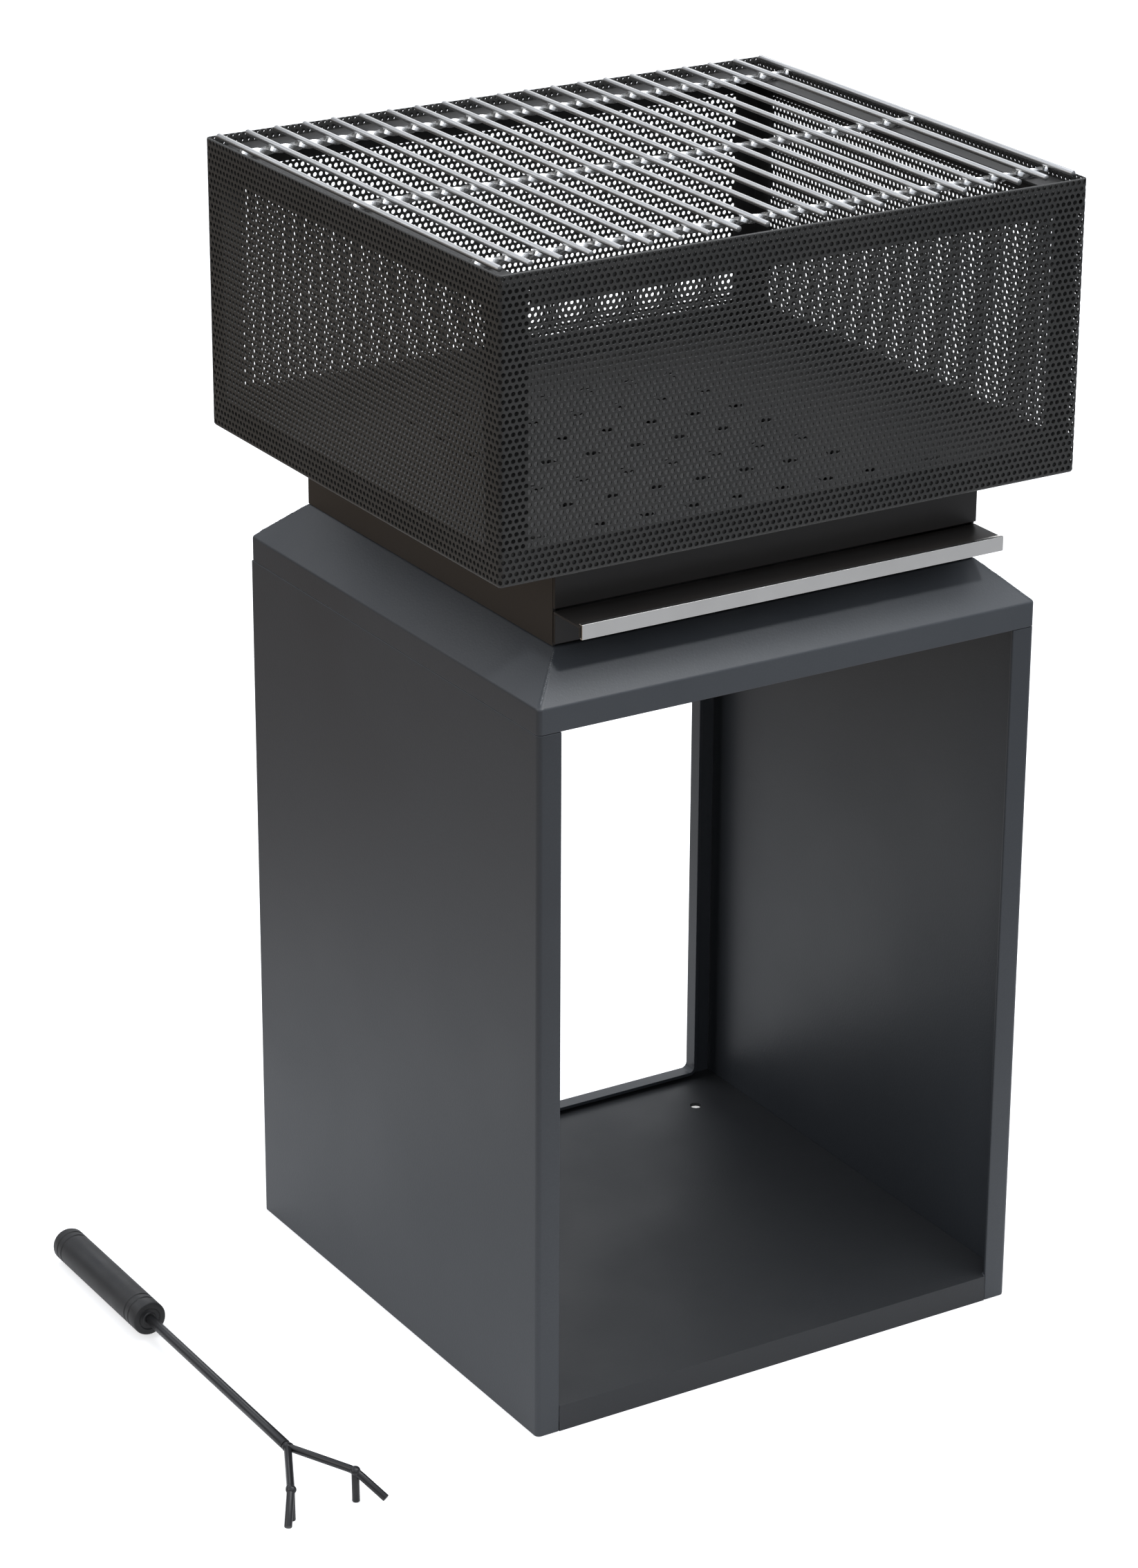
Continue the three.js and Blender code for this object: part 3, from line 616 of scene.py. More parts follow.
def round_rod(path: Sequence[Vector], radius: float, sides: int, end_round: float) -> bmesh.types.BMesh:
    """Makes a round rod along a path, with rounded ends.

    Args:
        path: Points along its axis.
        radius: The rod's radius.
        sides: Number of sides.
        end_round: Rounding of the end edges.

    Returns:
        The rod.
    """
    last = len(path) - 1
    frames = [axis_frame(point, (path[min(index + 1, last)] - path[max(index - 1, 0)]).normalized())
              for index, point in enumerate(path)]
    bm = bmesh.new()
    bmesh.ops.create_circle(bm, cap_ends=True, radius=radius, segments=sides, matrix=frames[0])
    sweep(bm, frames)
    caps = [edge for face in bm.faces if len(face.verts) == sides for edge in face.edges]
    bevel(bm, caps, end_round)
    return bm


def rounded(start: Vector, knee: Vector, end: Vector, cut: float) -> list[Vector]:
    """Rounds a bend.

    Args:
        start: Point before the bend.
        knee: The bend's corner.
        end: Point after the bend.
        cut: How far from the corner the rounding starts.

    Returns:
        Points along the rounded bend.
    """
    first = knee + (start - knee).normalized() * cut
    last = knee + (end - knee).normalized() * cut
    return [first.lerp(knee, share).lerp(knee.lerp(last, share), share)
            for share in (0.0, 0.25, 0.5, 0.75, 1.0)]


def absorb(bm: bmesh.types.BMesh, other: bmesh.types.BMesh) -> None:
    """Adds one mesh to another and frees it.

    Args:
        bm: The mesh that grows.
        other: The mesh that is added.
    """
    spare = bpy.data.meshes.new("spare")
    other.to_mesh(spare)
    other.free()
    bm.from_mesh(spare)
    bpy.data.meshes.remove(spare)


BEAD_STEP = 0.35
BEAD_RIPPLE = 0.16
BEAD_RIPPLE_LENGTH = 0.42
BEAD_WOBBLE = 0.3
BEAD_WOBBLE_SCALE = 420


def weld_bead(start: Vector, end: Vector, width: float, height: float, seed: int) -> bmesh.types.BMesh:
    """Makes a low, uneven run of weld between two points.

    Args:
        start: One end of the run.
        end: The other end.
        width: Its width.
        height: How far it stands out from its axis.
        seed: Starts the random ripple.

    Returns:
        The bead.
    """
    axis = (end - start).normalized()
    length = (end - start).length
    steps = max(6, round(length / (width * BEAD_STEP)))
    chance = random.Random(seed)
    bm = bmesh.new()
    frames = [axis_frame(start.lerp(end, step / steps), axis) for step in range(steps + 1)]
    bmesh.ops.create_circle(bm, cap_ends=True, radius=width / 2, segments=10, matrix=frames[0])
    sweep(bm, frames)
    phase = chance.random() * math.tau
    for vert in bm.verts:
        along = (vert.co - start).dot(axis)
        centre = start + axis * along
        taper = math.sqrt(max(0.05, 1 - abs(2 * along / length - 1) ** 6))
        ripple = 1 + BEAD_RIPPLE * math.sin(along / (width * BEAD_RIPPLE_LENGTH) * math.pi + phase)
        wobble = 1 + BEAD_WOBBLE * noise.noise(vert.co * BEAD_WOBBLE_SCALE)
        vert.co = centre + (vert.co - centre) * taper * ripple * wobble * (2 * height / width)
    return bm


# ---- Plinth -------------------------------------------------------------------------------------


@dataclass(frozen=True)
class CornerBead:
    """A short weld in a corner of the log opening, in millimetres outwards from the corner."""

    at_head: bool
    start: tuple[float, float, float]
    end: tuple[float, float, float]
    width: float
    height: float
    seed: int


@dataclass
class Plinth:
    """The log store: folded side panels, rear window frame, floor and mitred cap."""

    edge_radius: float = 0.9 * MM
    sheet: float = 3 * MM
    flange_width: float = 20 * MM
    cap_slope_rise: float = 31 * MM
    skirt_corner_radius: float = 4 * MM
    top_corner_radius: float = 1.6 * MM
    corner_steps: int = 6
    inner_slope_start: float = 1.32 * MM
    inner_top_inset: float = 35.16 * MM
    top_lip: float = 3 * MM
    crest_bend: float = 1.1 * MM
    shoulder_bend: float = 1.5 * MM
    foot_bend: float = 0.9 * MM
    inner_foot_bend: float = 0.5 * MM
    seam_width: float = 2.2 * MM
    seam_height: float = 0.42
    seam_sunk: float = 0.25
    seam_reach: tuple[float, float] = (0.04, 0.985)
    corner_beads: tuple[CornerBead, ...] = (
        CornerBead(False, (-1.0, 1.2, -16.0), (-0.6, 1.2, 1.5), 2.4, 1.0, 31),
        CornerBead(False, (-1.0, 3.6, 0.2), (15.0, 3.6, 0.2), 4.0, 1.7, 41),
        CornerBead(True, (0.5, 2.8, 0.0), (12.0, 2.8, 0.0), 2.8, 1.2, 51),
    )
    finish: SprayedCoat = FINISHES.plinth

    def build(self) -> None:
        """Builds and dresses the plinth's pieces."""
        names = {
            "plinth_left_panel": "left_side_sheet",
            "plinth_right_panel": "right_side_sheet",
            "plinth_rear_panel": "rear_window_sheet",
            "log_store_floor": "log_floor_sheet",
            "floor_stiffener": "floor_channel",
        }
        for node, name in names.items():
            # The log floor takes the darker coat, which is painted shade for the inside of the log store.
            coat = FINISHES.log_floor_painted_shade if node == "log_store_floor" else self.finish
            dress(node, name, coat, Body.STAND, self.edge_radius)
        self.build_cap()
        self.build_seams()
        self.build_inner_welds()

    @property
    def cap_run(self) -> float:
        """How far the cap's slope reaches inwards, up to the housing."""
        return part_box("plinth_cap")[1].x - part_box("neck_right_wall")[1].x

    def cap_profile(self) -> list[Vector]:
        """Lists the cap's section as (inset, height, corner radius), from its top round to its inside."""
        low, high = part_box("plinth_cap")
        wide, narrow = self.skirt_corner_radius, self.top_corner_radius
        inner_wide = wide - self.sheet
        slope_start = high.z - self.cap_slope_rise
        flat = Vector((self.cap_run + self.top_lip, high.z, narrow))
        crest = Vector((self.cap_run, high.z, narrow))
        shoulder = Vector((0, slope_start, wide))
        foot = Vector((0, low.z, wide))
        inner_foot = Vector((self.sheet, low.z, inner_wide))
        inner_shoulder = Vector((self.sheet, slope_start - self.inner_slope_start, inner_wide))
        inner_crest = Vector((self.inner_top_inset, high.z - self.sheet, inner_wide))
        return [flat, *rounded(flat, crest, shoulder, self.crest_bend),
                *rounded(crest, shoulder, foot, self.shoulder_bend),
                *rounded(shoulder, foot, inner_foot, self.foot_bend),
                *rounded(foot, inner_foot, inner_shoulder, self.inner_foot_bend),
                inner_shoulder, inner_crest]

    def build_cap(self) -> None:
        """Builds the folded cap, ring by ring along its section, closed on top and inside."""
        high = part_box("plinth_cap")[1]
        bm = bmesh.new()
        bmesh.ops.create_grid(bm, x_segments=1, y_segments=1, size=1.0)
        arc = 0.5
        bevel(bm, list(bm.verts), arc, self.corner_steps, "VERTICES")
        rays = {vert.index: vert.co.copy() for vert in bm.verts}
        tag = bm.verts.layers.int.new("ray")
        for vert in bm.verts:
            vert[tag] = vert.index
        ring = list(bm.verts)
        edges = list(bm.edges)
        for step, (inset, height, radius) in enumerate(self.cap_profile()):
            if step:
                ring, edges = extend(bm, edges)
            for vert in ring:
                ray = rays[vert[tag]]
                sign_x, sign_y = math.copysign(1, ray.x), math.copysign(1, ray.y)
                out = Vector((ray.x - sign_x * arc, ray.y - sign_y * arc, 0)) / arc
                corner = Vector((sign_x * (high.x - inset - radius), sign_y * (high.y - inset - radius), 0))
                vert.co = corner + out * radius + Vector((0, 0, height))
        bmesh.ops.contextual_create(bm, geom=edges)
        bmesh.ops.recalc_face_normals(bm, faces=bm.faces)
        publish(bm, "sloped_cap", self.finish, Body.STAND, ["plinth_cap"], flat_faces=True)

    def cap_corner(self, sign_x: int, sign_y: int) -> tuple[Vector, Vector]:
        """Finds the two ends of a mitre on the cap's slope.

        Args:
            sign_x: Which side.
            sign_y: Front or back.

        Returns:
            The lower and the upper end.
        """
        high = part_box("plinth_cap")[1]
        ends = []
        for inset, radius, height in ((0, self.skirt_corner_radius, high.z - self.cap_slope_rise),
                                      (self.cap_run, self.top_corner_radius, high.z)):
            back = inset + radius * (1 - math.sqrt(0.5))
            ends.append(Vector((sign_x * (high.x - back), sign_y * (high.y - back), height)))
        return ends[0], ends[1]

    def build_seams(self) -> None:
        """Builds the ground weld along each mitre of the cap."""
        bm = bmesh.new()
        for index, (sign_x, sign_y) in enumerate([(-1, -1), (1, -1), (-1, 1), (1, 1)]):
            lower, upper = self.cap_corner(sign_x, sign_y)
            sunk = Vector((-sign_x, -sign_y, -1.0)).normalized() * (self.seam_width * self.seam_sunk)
            start, end = (lower.lerp(upper, share) + sunk for share in self.seam_reach)
            absorb(bm, weld_bead(start, end, self.seam_width, self.seam_width * self.seam_height,
                                 11 + index))
        # The seams' lighter coat is partly a painted highlight along each mitre.
        publish(bm, "cap_mitre_seams", FINISHES.seam, Body.STAND, smooth_below=WELD_SMOOTHING)

    def build_inner_welds(self) -> None:
        """Builds the short welds in the log opening's corners."""
        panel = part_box("plinth_right_panel")
        corner = Vector((panel[1].x - self.flange_width, panel[0].y, 0))
        heights = {True: panel[1].z, False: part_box("log_store_floor")[1].z}
        bm = bmesh.new()
        for index, sign in enumerate((-1, 1)):
            for bead in self.corner_beads:
                at = Vector((sign * corner.x, corner.y, heights[bead.at_head]))
                start, end = (at + Vector((sign * x, y, z)) * MM for x, y, z in (bead.start, bead.end))
                absorb(bm, weld_bead(start, end, bead.width * MM, bead.height * MM, bead.seed + index))
        publish(bm, "opening_corner_welds", self.finish, Body.STAND, smooth_below=WELD_SMOOTHING)


# ---- Housing and ash drawer ---------------------------------------------------------------------


@dataclass
class Housing:
    """The short black housing between plinth and basket."""

    edge_radius: float = 0.6 * MM
    finish: SprayedCoat = FINISHES.housing

    def build(self) -> None:
        """Builds and dresses the housing's walls and the drawer's runners."""
        names = {
            "neck_left_wall": "housing_left_sheet",
            "neck_right_wall": "housing_right_sheet",
            "neck_rear_wall": "housing_rear_sheet",
            "neck_front_fascia": "housing_front_sheet",
            "drawer_left_runner": "left_runner_angle",
            "drawer_right_runner": "right_runner_angle",
        }
        for node, name in names.items():
            dress(node, name, self.finish, Body.STAND, self.edge_radius)


@dataclass
class AshDrawer:
    """The ash drawer: tray, front with its pull shelf, and the bright trim."""

    edge_radius: float = 0.55 * MM
    fold_radius: float = 0.7 * MM
    trim_radius: float = 0.3 * MM
    trim_share: float = 0.995

    def build(self) -> None:
        """Builds and dresses the drawer's pieces."""
        for node, name in (("ash_drawer_tray", "ash_tray_sheet"), ("ash_drawer_rear", "ash_tray_back")):
            dress(node, name, FINISHES.firebox, Body.DRAWER, self.edge_radius)
        dress("ash_drawer_front", "drawer_front_sheet", FINISHES.housing, Body.DRAWER,
              self.fold_radius, 3)
        bm = cad_copy("ash_drawer_trim")
        bmesh.ops.scale(bm, vec=(self.trim_share, 1, 1), verts=bm.verts)
        soften(bm, self.trim_radius)
        publish(bm, "drawer_bright_trim", FINISHES.trim, Body.DRAWER, ["ash_drawer_trim"],
                flat_faces=True)


# ---- Fire basket --------------------------------------------------------------------------------


BASKET_SIDES = ("front", "right", "rear", "left")


@dataclass
class PerforatedWall:
    """One wall of the basket: a sheet with staggered round holes, bent at its corners and edges.

    It is cut flat, as (along, up), and then bent, so that the holes run round the folds.
    """

    half_length: float
    distance: float
    columns: int
    bottom: float
    top: float
    sheet: float = 1.15 * MM
    hole_radius: float = 1.88 * MM
    hole_sides: int = 8
    row_pitch: float = 4.95 * MM
    corner_radius: float = 3.6 * MM
    foot_radius: float = 3.2 * MM
    foot_angle: float = math.radians(50)
    first_row_height: float = 4.6 * MM
    hem_radius: float = 1.2 * MM
    hem_drop: float = 8 * MM
    row_pairs: int = 23
    fold_steps: int = 6

    @property
    def corner_start(self) -> float:
        """Distance from the middle at which the corner's bend starts."""
        return self.half_length - self.corner_radius

    @property
    def flat_half(self) -> float:
        """Half of the flat sheet's length, up to the middle of the corner."""
        return self.corner_start + self.corner_radius * math.pi / 4

    @property
    def pitch(self) -> float:
        """Distance between holes in a row."""
        return 2 * self.flat_half / self.columns

    @property
    def foot_start(self) -> float:
        """Height at which the lower edge starts to bend in."""
        return self.bottom + self.foot_radius

    @property
    def fold_start(self) -> float:
        """Height at which the upper edge starts to fold over."""
        return self.top - self.hem_radius

    @property
    def foot_end(self) -> float:
        """Flat height of the sheet's lower edge."""
        return self.foot_start - self.foot_radius * self.foot_angle

    @property
    def hem_end(self) -> float:
        """Flat height of the folded hem's free edge."""
        return self.fold_start + math.pi * self.hem_radius + self.hem_drop - self.hem_radius

    def cell(self) -> bmesh.types.BMesh:
        """Makes the sheet round one hole.

        Returns:
            A rectangle with a hole, whose long sides carry a middle vertex for the next row.
        """
        bm = bmesh.new()
        bmesh.ops.create_grid(bm, x_segments=2, y_segments=1, size=0.5)
        middle = [edge for edge in bm.edges if len(edge.link_faces) == 2]
        bmesh.ops.delete(bm, geom=list(bm.faces), context="FACES_ONLY")
        bmesh.ops.delete(bm, geom=middle, context="EDGES")
        bmesh.ops.scale(bm, vec=(self.pitch, self.row_pitch, 1), verts=bm.verts)
        bmesh.ops.create_circle(bm, cap_ends=False, radius=self.hole_radius, segments=self.hole_sides,
                                matrix=Matrix.Rotation(math.pi / self.hole_sides, 4, "Z"))
        bmesh.ops.bridge_loops(bm, edges=list(bm.edges))
        return bm

    def field(self, first_row: int, row_pairs: int) -> bmesh.types.BMesh:
        """Lays out rows of holes.

        Args:
            first_row: Number of the lowest row, counted from the lowest row of the wall. It is even.
            row_pairs: How many pairs of rows.

        Returns:
            The flat sheet, in (along, up).
        """
        bm = self.cell()
        copied = bmesh.ops.duplicate(bm, geom=everything(bm))["geom"]
        offset = (self.pitch / 2, self.row_pitch, 0)
        bmesh.ops.translate(bm, vec=offset, verts=[v for v in copied if isinstance(v, bmesh.types.BMVert)])
        repeat(bm, (self.pitch, 0, 0), self.columns + 1)
        repeat(bm, (0, 2 * self.row_pitch, 0), row_pairs - 1)
        bmesh.ops.remove_doubles(bm, verts=bm.verts, dist=WELD_DISTANCE)
        height = self.bottom + self.first_row_height + first_row * self.row_pitch
        bmesh.ops.translate(bm, vec=(-self.flat_half - self.pitch, height, 0), verts=bm.verts)
        return bm

    def trim(self, bm: bmesh.types.BMesh, along: Vector, place: float, clear: bool = True) -> None:
        """Cuts the flat sheet along a line.

        Args:
            bm: The sheet.
            along: Direction across the line, pointing at what is removed.
            place: Where the line is, along that direction.
            clear: Whether what is past the line is removed, or only scored.
        """
        bmesh.ops.bisect_plane(bm, geom=everything(bm), dist=1e-7, plane_co=along * place,
                               plane_no=along, clear_outer=clear)

    def score_corners(self, bm: bmesh.types.BMesh) -> None:
        """Cuts the sheet at its ends and scores it where the corner's bend starts and turns."""
        middle = (self.corner_start + self.flat_half) / 2
        for along in (-ACROSS, ACROSS):
            self.trim(bm, along, self.flat_half)
            self.trim(bm, along, self.corner_start, False)
            self.trim(bm, along, middle, False)

    def bent(self, along: float, up: float) -> Vector:
        """Finds where a point of the flat sheet's outer face ends up.

        Args:
            along: Distance from the middle of the wall.
            up: Flat height.

        Returns:
            The place on the front wall.
        """
        inwards = 0.0
        if up < self.foot_start:
            angle = (self.foot_start - up) / self.foot_radius
            up = self.foot_start - self.foot_radius * math.sin(angle)
            inwards = self.foot_radius * (1 - math.cos(angle))
        elif up > self.fold_start:
            angle = min((up - self.fold_start) / self.hem_radius, math.pi)
            inwards = self.hem_radius * (1 - math.cos(angle))
            past = up - self.fold_start - self.hem_radius * math.pi
            up = self.fold_start + self.hem_radius * math.sin(angle) - max(0.0, past)
        sign = math.copysign(1.0, along)
        turn = max(0.0, (abs(along) - self.corner_start) / self.corner_radius)
        reach = min(abs(along), self.corner_start) + (self.corner_radius - inwards) * math.sin(turn)
        depth = self.corner_radius - (self.corner_radius - inwards) * math.cos(turn)
        return Vector((sign * reach, -self.distance + depth, up))

    def fold(self, bm: bmesh.types.BMesh) -> bmesh.types.BMesh:
        """Bends the flat sheet and gives it its thickness."""
        bm.normal_update()
        if next(iter(bm.faces)).normal.z < 0:
            bmesh.ops.reverse_faces(bm, faces=bm.faces)
        for vert in bm.verts:
            vert.co = self.bent(vert.co.x, vert.co.y)
        bm.normal_update()
        bmesh.ops.solidify(bm, geom=list(bm.faces), thickness=self.sheet)
        return bm

    def body_sheet(self) -> bmesh.types.BMesh:
        """Makes the wall up to the fold of its top edge."""
        bm = self.field(0, self.row_pairs)
        self.trim(bm, UP_SHEET, self.fold_start)
        lowest = min(vert.co.y for vert in bm.verts)
        rim = [edge for edge in bm.edges if all(vert.co.y < lowest + 1e-6 for vert in edge.verts)]
        for _ in range(2):
            moved, rim = extend(bm, rim)
            bmesh.ops.translate(bm, vec=(0, (self.foot_end - lowest) / 2, 0), verts=moved)
        self.score_corners(bm)
        return self.fold(bm)

    def hem_sheet(self) -> bmesh.types.BMesh:
        """Makes the folded top edge."""
        bm = self.field(2 * self.row_pairs - 2, 3)
        self.trim(bm, -UP_SHEET, -self.fold_start)
        self.trim(bm, UP_SHEET, self.hem_end)
        for step in range(1, self.fold_steps + 1):
            turned = math.pi * step / self.fold_steps
            self.trim(bm, UP_SHEET, self.fold_start + self.hem_radius * turned, False)
        self.score_corners(bm)
        return self.fold(bm)


@dataclass
class FirePan:
    """The pan under the fire: a vented floor with turned-up edges."""

    floor_outer: Vector
    floor_z: float
    upstand: float
    sheet: float = 2 * MM
    vent_radius: float = 6 * MM
    vent_sides: int = 24
    vent_pitch: tuple[float, float] = (40 * MM, 46 * MM)
    vents: int = 7
    fold_radius: float = 3.2 * MM

    def cell(self) -> bmesh.types.BMesh:
        """Makes the sheet round one vent."""
        bm = bmesh.new()
        bmesh.ops.create_grid(bm, x_segments=1, y_segments=1, size=0.5)
        bmesh.ops.delete(bm, geom=list(bm.faces), context="FACES_ONLY")
        bmesh.ops.scale(bm, vec=(*self.vent_pitch, 1), verts=bm.verts)
        bmesh.ops.create_circle(bm, cap_ends=False, radius=self.vent_radius, segments=self.vent_sides)
        bmesh.ops.bridge_loops(bm, edges=list(bm.edges))
        return bm

    def build(self) -> bmesh.types.BMesh:
        """Builds the pan, with the underside of its floor at the given height."""
        bm = self.cell()
        for axis, pitch in enumerate(self.vent_pitch):
            step = Vector((0, 0, 0))
            step[axis] = pitch
            repeat(bm, step, self.vents - 1)
        bmesh.ops.remove_doubles(bm, verts=bm.verts, dist=WELD_DISTANCE)
        middle = [-(self.vents - 1) / 2 * pitch for pitch in self.vent_pitch]
        bmesh.ops.translate(bm, vec=(*middle, 0), verts=bm.verts)
        half = Vector((self.vents * self.vent_pitch[0] / 2, self.vents * self.vent_pitch[1] / 2, 0))
        rim = [edge for edge in bm.edges if len(edge.link_faces) == 1 and (
            all(abs(abs(vert.co.x) - half.x) < WELD_DISTANCE for vert in edge.verts)
            or all(abs(abs(vert.co.y) - half.y) < WELD_DISTANCE for vert in edge.verts))]
        moved, folds = extend(bm, rim)
        for vert in moved:
            if abs(abs(vert.co.x) - half.x) < WELD_DISTANCE:
                vert.co.x = math.copysign(self.floor_outer.x, vert.co.x)
            if abs(abs(vert.co.y) - half.y) < WELD_DISTANCE:
                vert.co.y = math.copysign(self.floor_outer.y, vert.co.y)
        bmesh.ops.translate(bm, vec=(0, 0, self.upstand), verts=extend(bm, folds)[0])
        bmesh.ops.recalc_face_normals(bm, faces=bm.faces)
        bm.normal_update()
        floor_face = min(bm.faces, key=lambda face: face.calc_center_median().length)
        if floor_face.normal.z > 0:
            bmesh.ops.reverse_faces(bm, faces=bm.faces)
        corners = [edge for edge in bm.edges if len(edge.link_faces) == 2
                   and edge.calc_face_angle(0.0) > 1.0]
        bevel(bm, corners, self.fold_radius, 4)
        bmesh.ops.translate(bm, vec=(0, 0, self.floor_z), verts=bm.verts)
        bm.normal_update()
        bmesh.ops.solidify(bm, geom=list(bm.faces), thickness=self.sheet)
        return bm


@dataclass
class FireBasket:
    """The perforated basket with its pan, corner posts, grate ledges and rivets."""

    long_columns: int = 95
    short_columns: int = 83
    angle_edge: float = 0.5 * MM
    rivets: int = 4
    rivet_sides: int = 24
    rivet_head: float = 6 * MM
    rivet_tail: float = 4.4 * MM
    rivet_shank: float = 3 * MM
    rivet_end_height: float = 3 * MM
    rivet_dome: tuple[float, ...] = (0.25, 0.55, 0.85, 1.15, 1.4)

    def build(self) -> None:
        """Builds and dresses the basket's pieces."""
        self.build_walls()
        self.build_pan()
        angles = {f"grate_ledge_{side}": f"{side}_support_angle" for side in BASKET_SIDES}
        for end in ("front", "rear"):
            for side in ("left", "right"):
                angles[f"corner_post_{end}_{side}"] = f"{end}_{side}_corner_angle"
        for node, name in angles.items():
            dress(node, name, FINISHES.firebox, Body.STAND, self.angle_edge)
        self.build_rivets()

    def build_walls(self) -> None:
        """Builds the four perforated walls and their folded top edges."""
        low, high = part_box("basket_front_mesh")
        side_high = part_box("basket_right_mesh")[1]
        outer_y = -low.y
        long_wall = PerforatedWall(high.x, outer_y, self.long_columns, low.z, high.z)
        short_wall = PerforatedWall(outer_y, side_high.x, self.short_columns, low.z, high.z)
        for quarter, side in enumerate(BASKET_SIDES):
            wall = short_wall if quarter % 2 else long_wall
            turn = Matrix.Rotation(quarter * math.pi / 2, 4, "Z")
            for name, make, nodes in ((f"{side}_perforated_wall", wall.body_sheet, [f"basket_{side}_mesh"]),
                                      (f"{side}_rolled_rim", wall.hem_sheet, [])):
                bm = make()
                bmesh.ops.transform(bm, matrix=turn, verts=bm.verts)
                publish(bm, name, FINISHES.mesh, Body.STAND, nodes, 50.0)

    def build_pan(self) -> None:
        """Builds the fire pan."""
        low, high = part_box("fire_pan")
        pan = FirePan(Vector((high.x, high.y, 0)), low.z, high.z - low.z)
        publish(pan.build(), "vented_fire_pan", FINISHES.firebox, Body.STAND, ["fire_pan"])

    def build_rivets(self) -> None:
        """Builds the domed rivets that hold the pan."""
        for number in range(1, self.rivets + 1):
            node = f"pan_rivet_{number}"
            low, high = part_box(node)
            tail, head = low.z, high.z
            flange, pan_top = tail + self.rivet_end_height, head - self.rivet_end_height
            dome = [(self.rivet_head * math.cos(angle), pan_top + self.rivet_end_height * math.sin(angle))
                    for angle in self.rivet_dome]
            profile = [(0, tail), (self.rivet_tail - 1 * MM, tail + 0.3 * MM),
                       (self.rivet_tail, tail + 1.4 * MM), (self.rivet_tail, flange),
                       (self.rivet_shank, flange), (self.rivet_shank, pan_top),
                       (self.rivet_head, pan_top), *dome, (0, head)]
            bm = lathe(profile, self.rivet_sides)
            bmesh.ops.translate(bm, vec=((low.x + high.x) / 2, (low.y + high.y) / 2, 0), verts=bm.verts)
            publish(bm, f"pan_fixing_{number}", FINISHES.firebox, Body.STAND, [node], 40.0)


# ---- Grate --------------------------------------------------------------------------------------


@dataclass
class Grate:
    """The lift-off grate: round bars resistance-welded to three twisted square rods."""

    bars: int = 21
    rods: int = 3
    bar_sides: int = 20
    bar_steps: int = 8
    bar_end_round: float = 0.6 * MM
    rod_side: float = 5 * MM
    rod_edge: float = 0.35 * MM
    steps_per_bar: int = 16
    nugget_size: Vector = Vector((0.7 * MM, 0.9 * MM, 0.5 * MM))
    nugget_sunk: float = 0.1 * MM
    nugget_wobble: float = 0.35 * MM
    nugget_wobble_scale: float = 300

    def build(self) -> None:
        """Builds and dresses the grate's pieces."""
        for number in range(1, self.bars + 1):
            self.build_bar(number)
        for number in range(1, self.rods + 1):
            self.build_rod(number)

    def build_bar(self, number: int) -> None:
        """Builds one bar.

        Args:
            number: Its number, counted from the left.
        """
        node = f"grate_bar_{number:02d}"
        low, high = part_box(node)
        x, z = (low.x + high.x) / 2, (low.z + high.z) / 2
        radius = (high.z - low.z) / 2
        path = [Vector((x, low.y + (high.y - low.y) * step / self.bar_steps, z))
                for step in range(self.bar_steps + 1)]
        bm = round_rod(path, radius, self.bar_sides, self.bar_end_round)
        publish(bm, f"round_bar_{number:02d}", FINISHES.bars, Body.GRATE, [node])

    def build_rod(self, number: int) -> None:
        """Builds one twisted rod, and the row of weld nuggets between it and the bars.

        Args:
            number: Its number, counted from the front.
        """
        node = f"grate_cross_rod_{number}"
        low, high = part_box(node)
        y, z = (low.y + high.y) / 2, (low.z + high.z) / 2
        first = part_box("grate_bar_01")
        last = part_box(f"grate_bar_{self.bars:02d}")
        first_x, last_x = (first[0].x + first[1].x) / 2, (last[0].x + last[1].x) / 2
        pitch = (last_x - first_x) / (self.bars - 1)
        steps = round((high.x - low.x) / pitch * self.steps_per_bar)
        frames = []
        for step in range(steps + 1):
            x = low.x + (high.x - low.x) * step / steps
            frames.append(axis_frame(Vector((x, y, z)), ACROSS, math.pi * x / pitch))
        bm = bmesh.new()
        bmesh.ops.create_circle(bm, cap_ends=True, radius=self.rod_side / math.sqrt(2), segments=4)
        bevel(bm, list(bm.verts), self.rod_edge, affect="VERTICES")
        bmesh.ops.transform(bm, matrix=frames[0], verts=bm.verts)
        sweep(bm, frames)
        publish(bm, f"twisted_rod_{number}", FINISHES.rods, Body.GRATE, [node], 30.0)
        nuggets = bmesh.new()
        bmesh.ops.create_icosphere(nuggets, subdivisions=1, radius=1.0)
        bmesh.ops.scale(nuggets, vec=self.nugget_size, verts=nuggets.verts)
        bmesh.ops.translate(nuggets, vec=(first_x, y, high.z - self.nugget_sunk), verts=nuggets.verts)
        repeat(nuggets, (pitch, 0, 0), self.bars - 1)
        for vert in nuggets.verts:
            wobble = noise.noise(vert.co * self.nugget_wobble_scale)
            vert.co += vert.normal * (self.nugget_wobble * wobble)
        publish(nuggets, f"weld_nuggets_{number}", FINISHES.rods, Body.GRATE, smooth_below=WELD_SMOOTHING)


# ---- Lifting tool -------------------------------------------------------------------------------


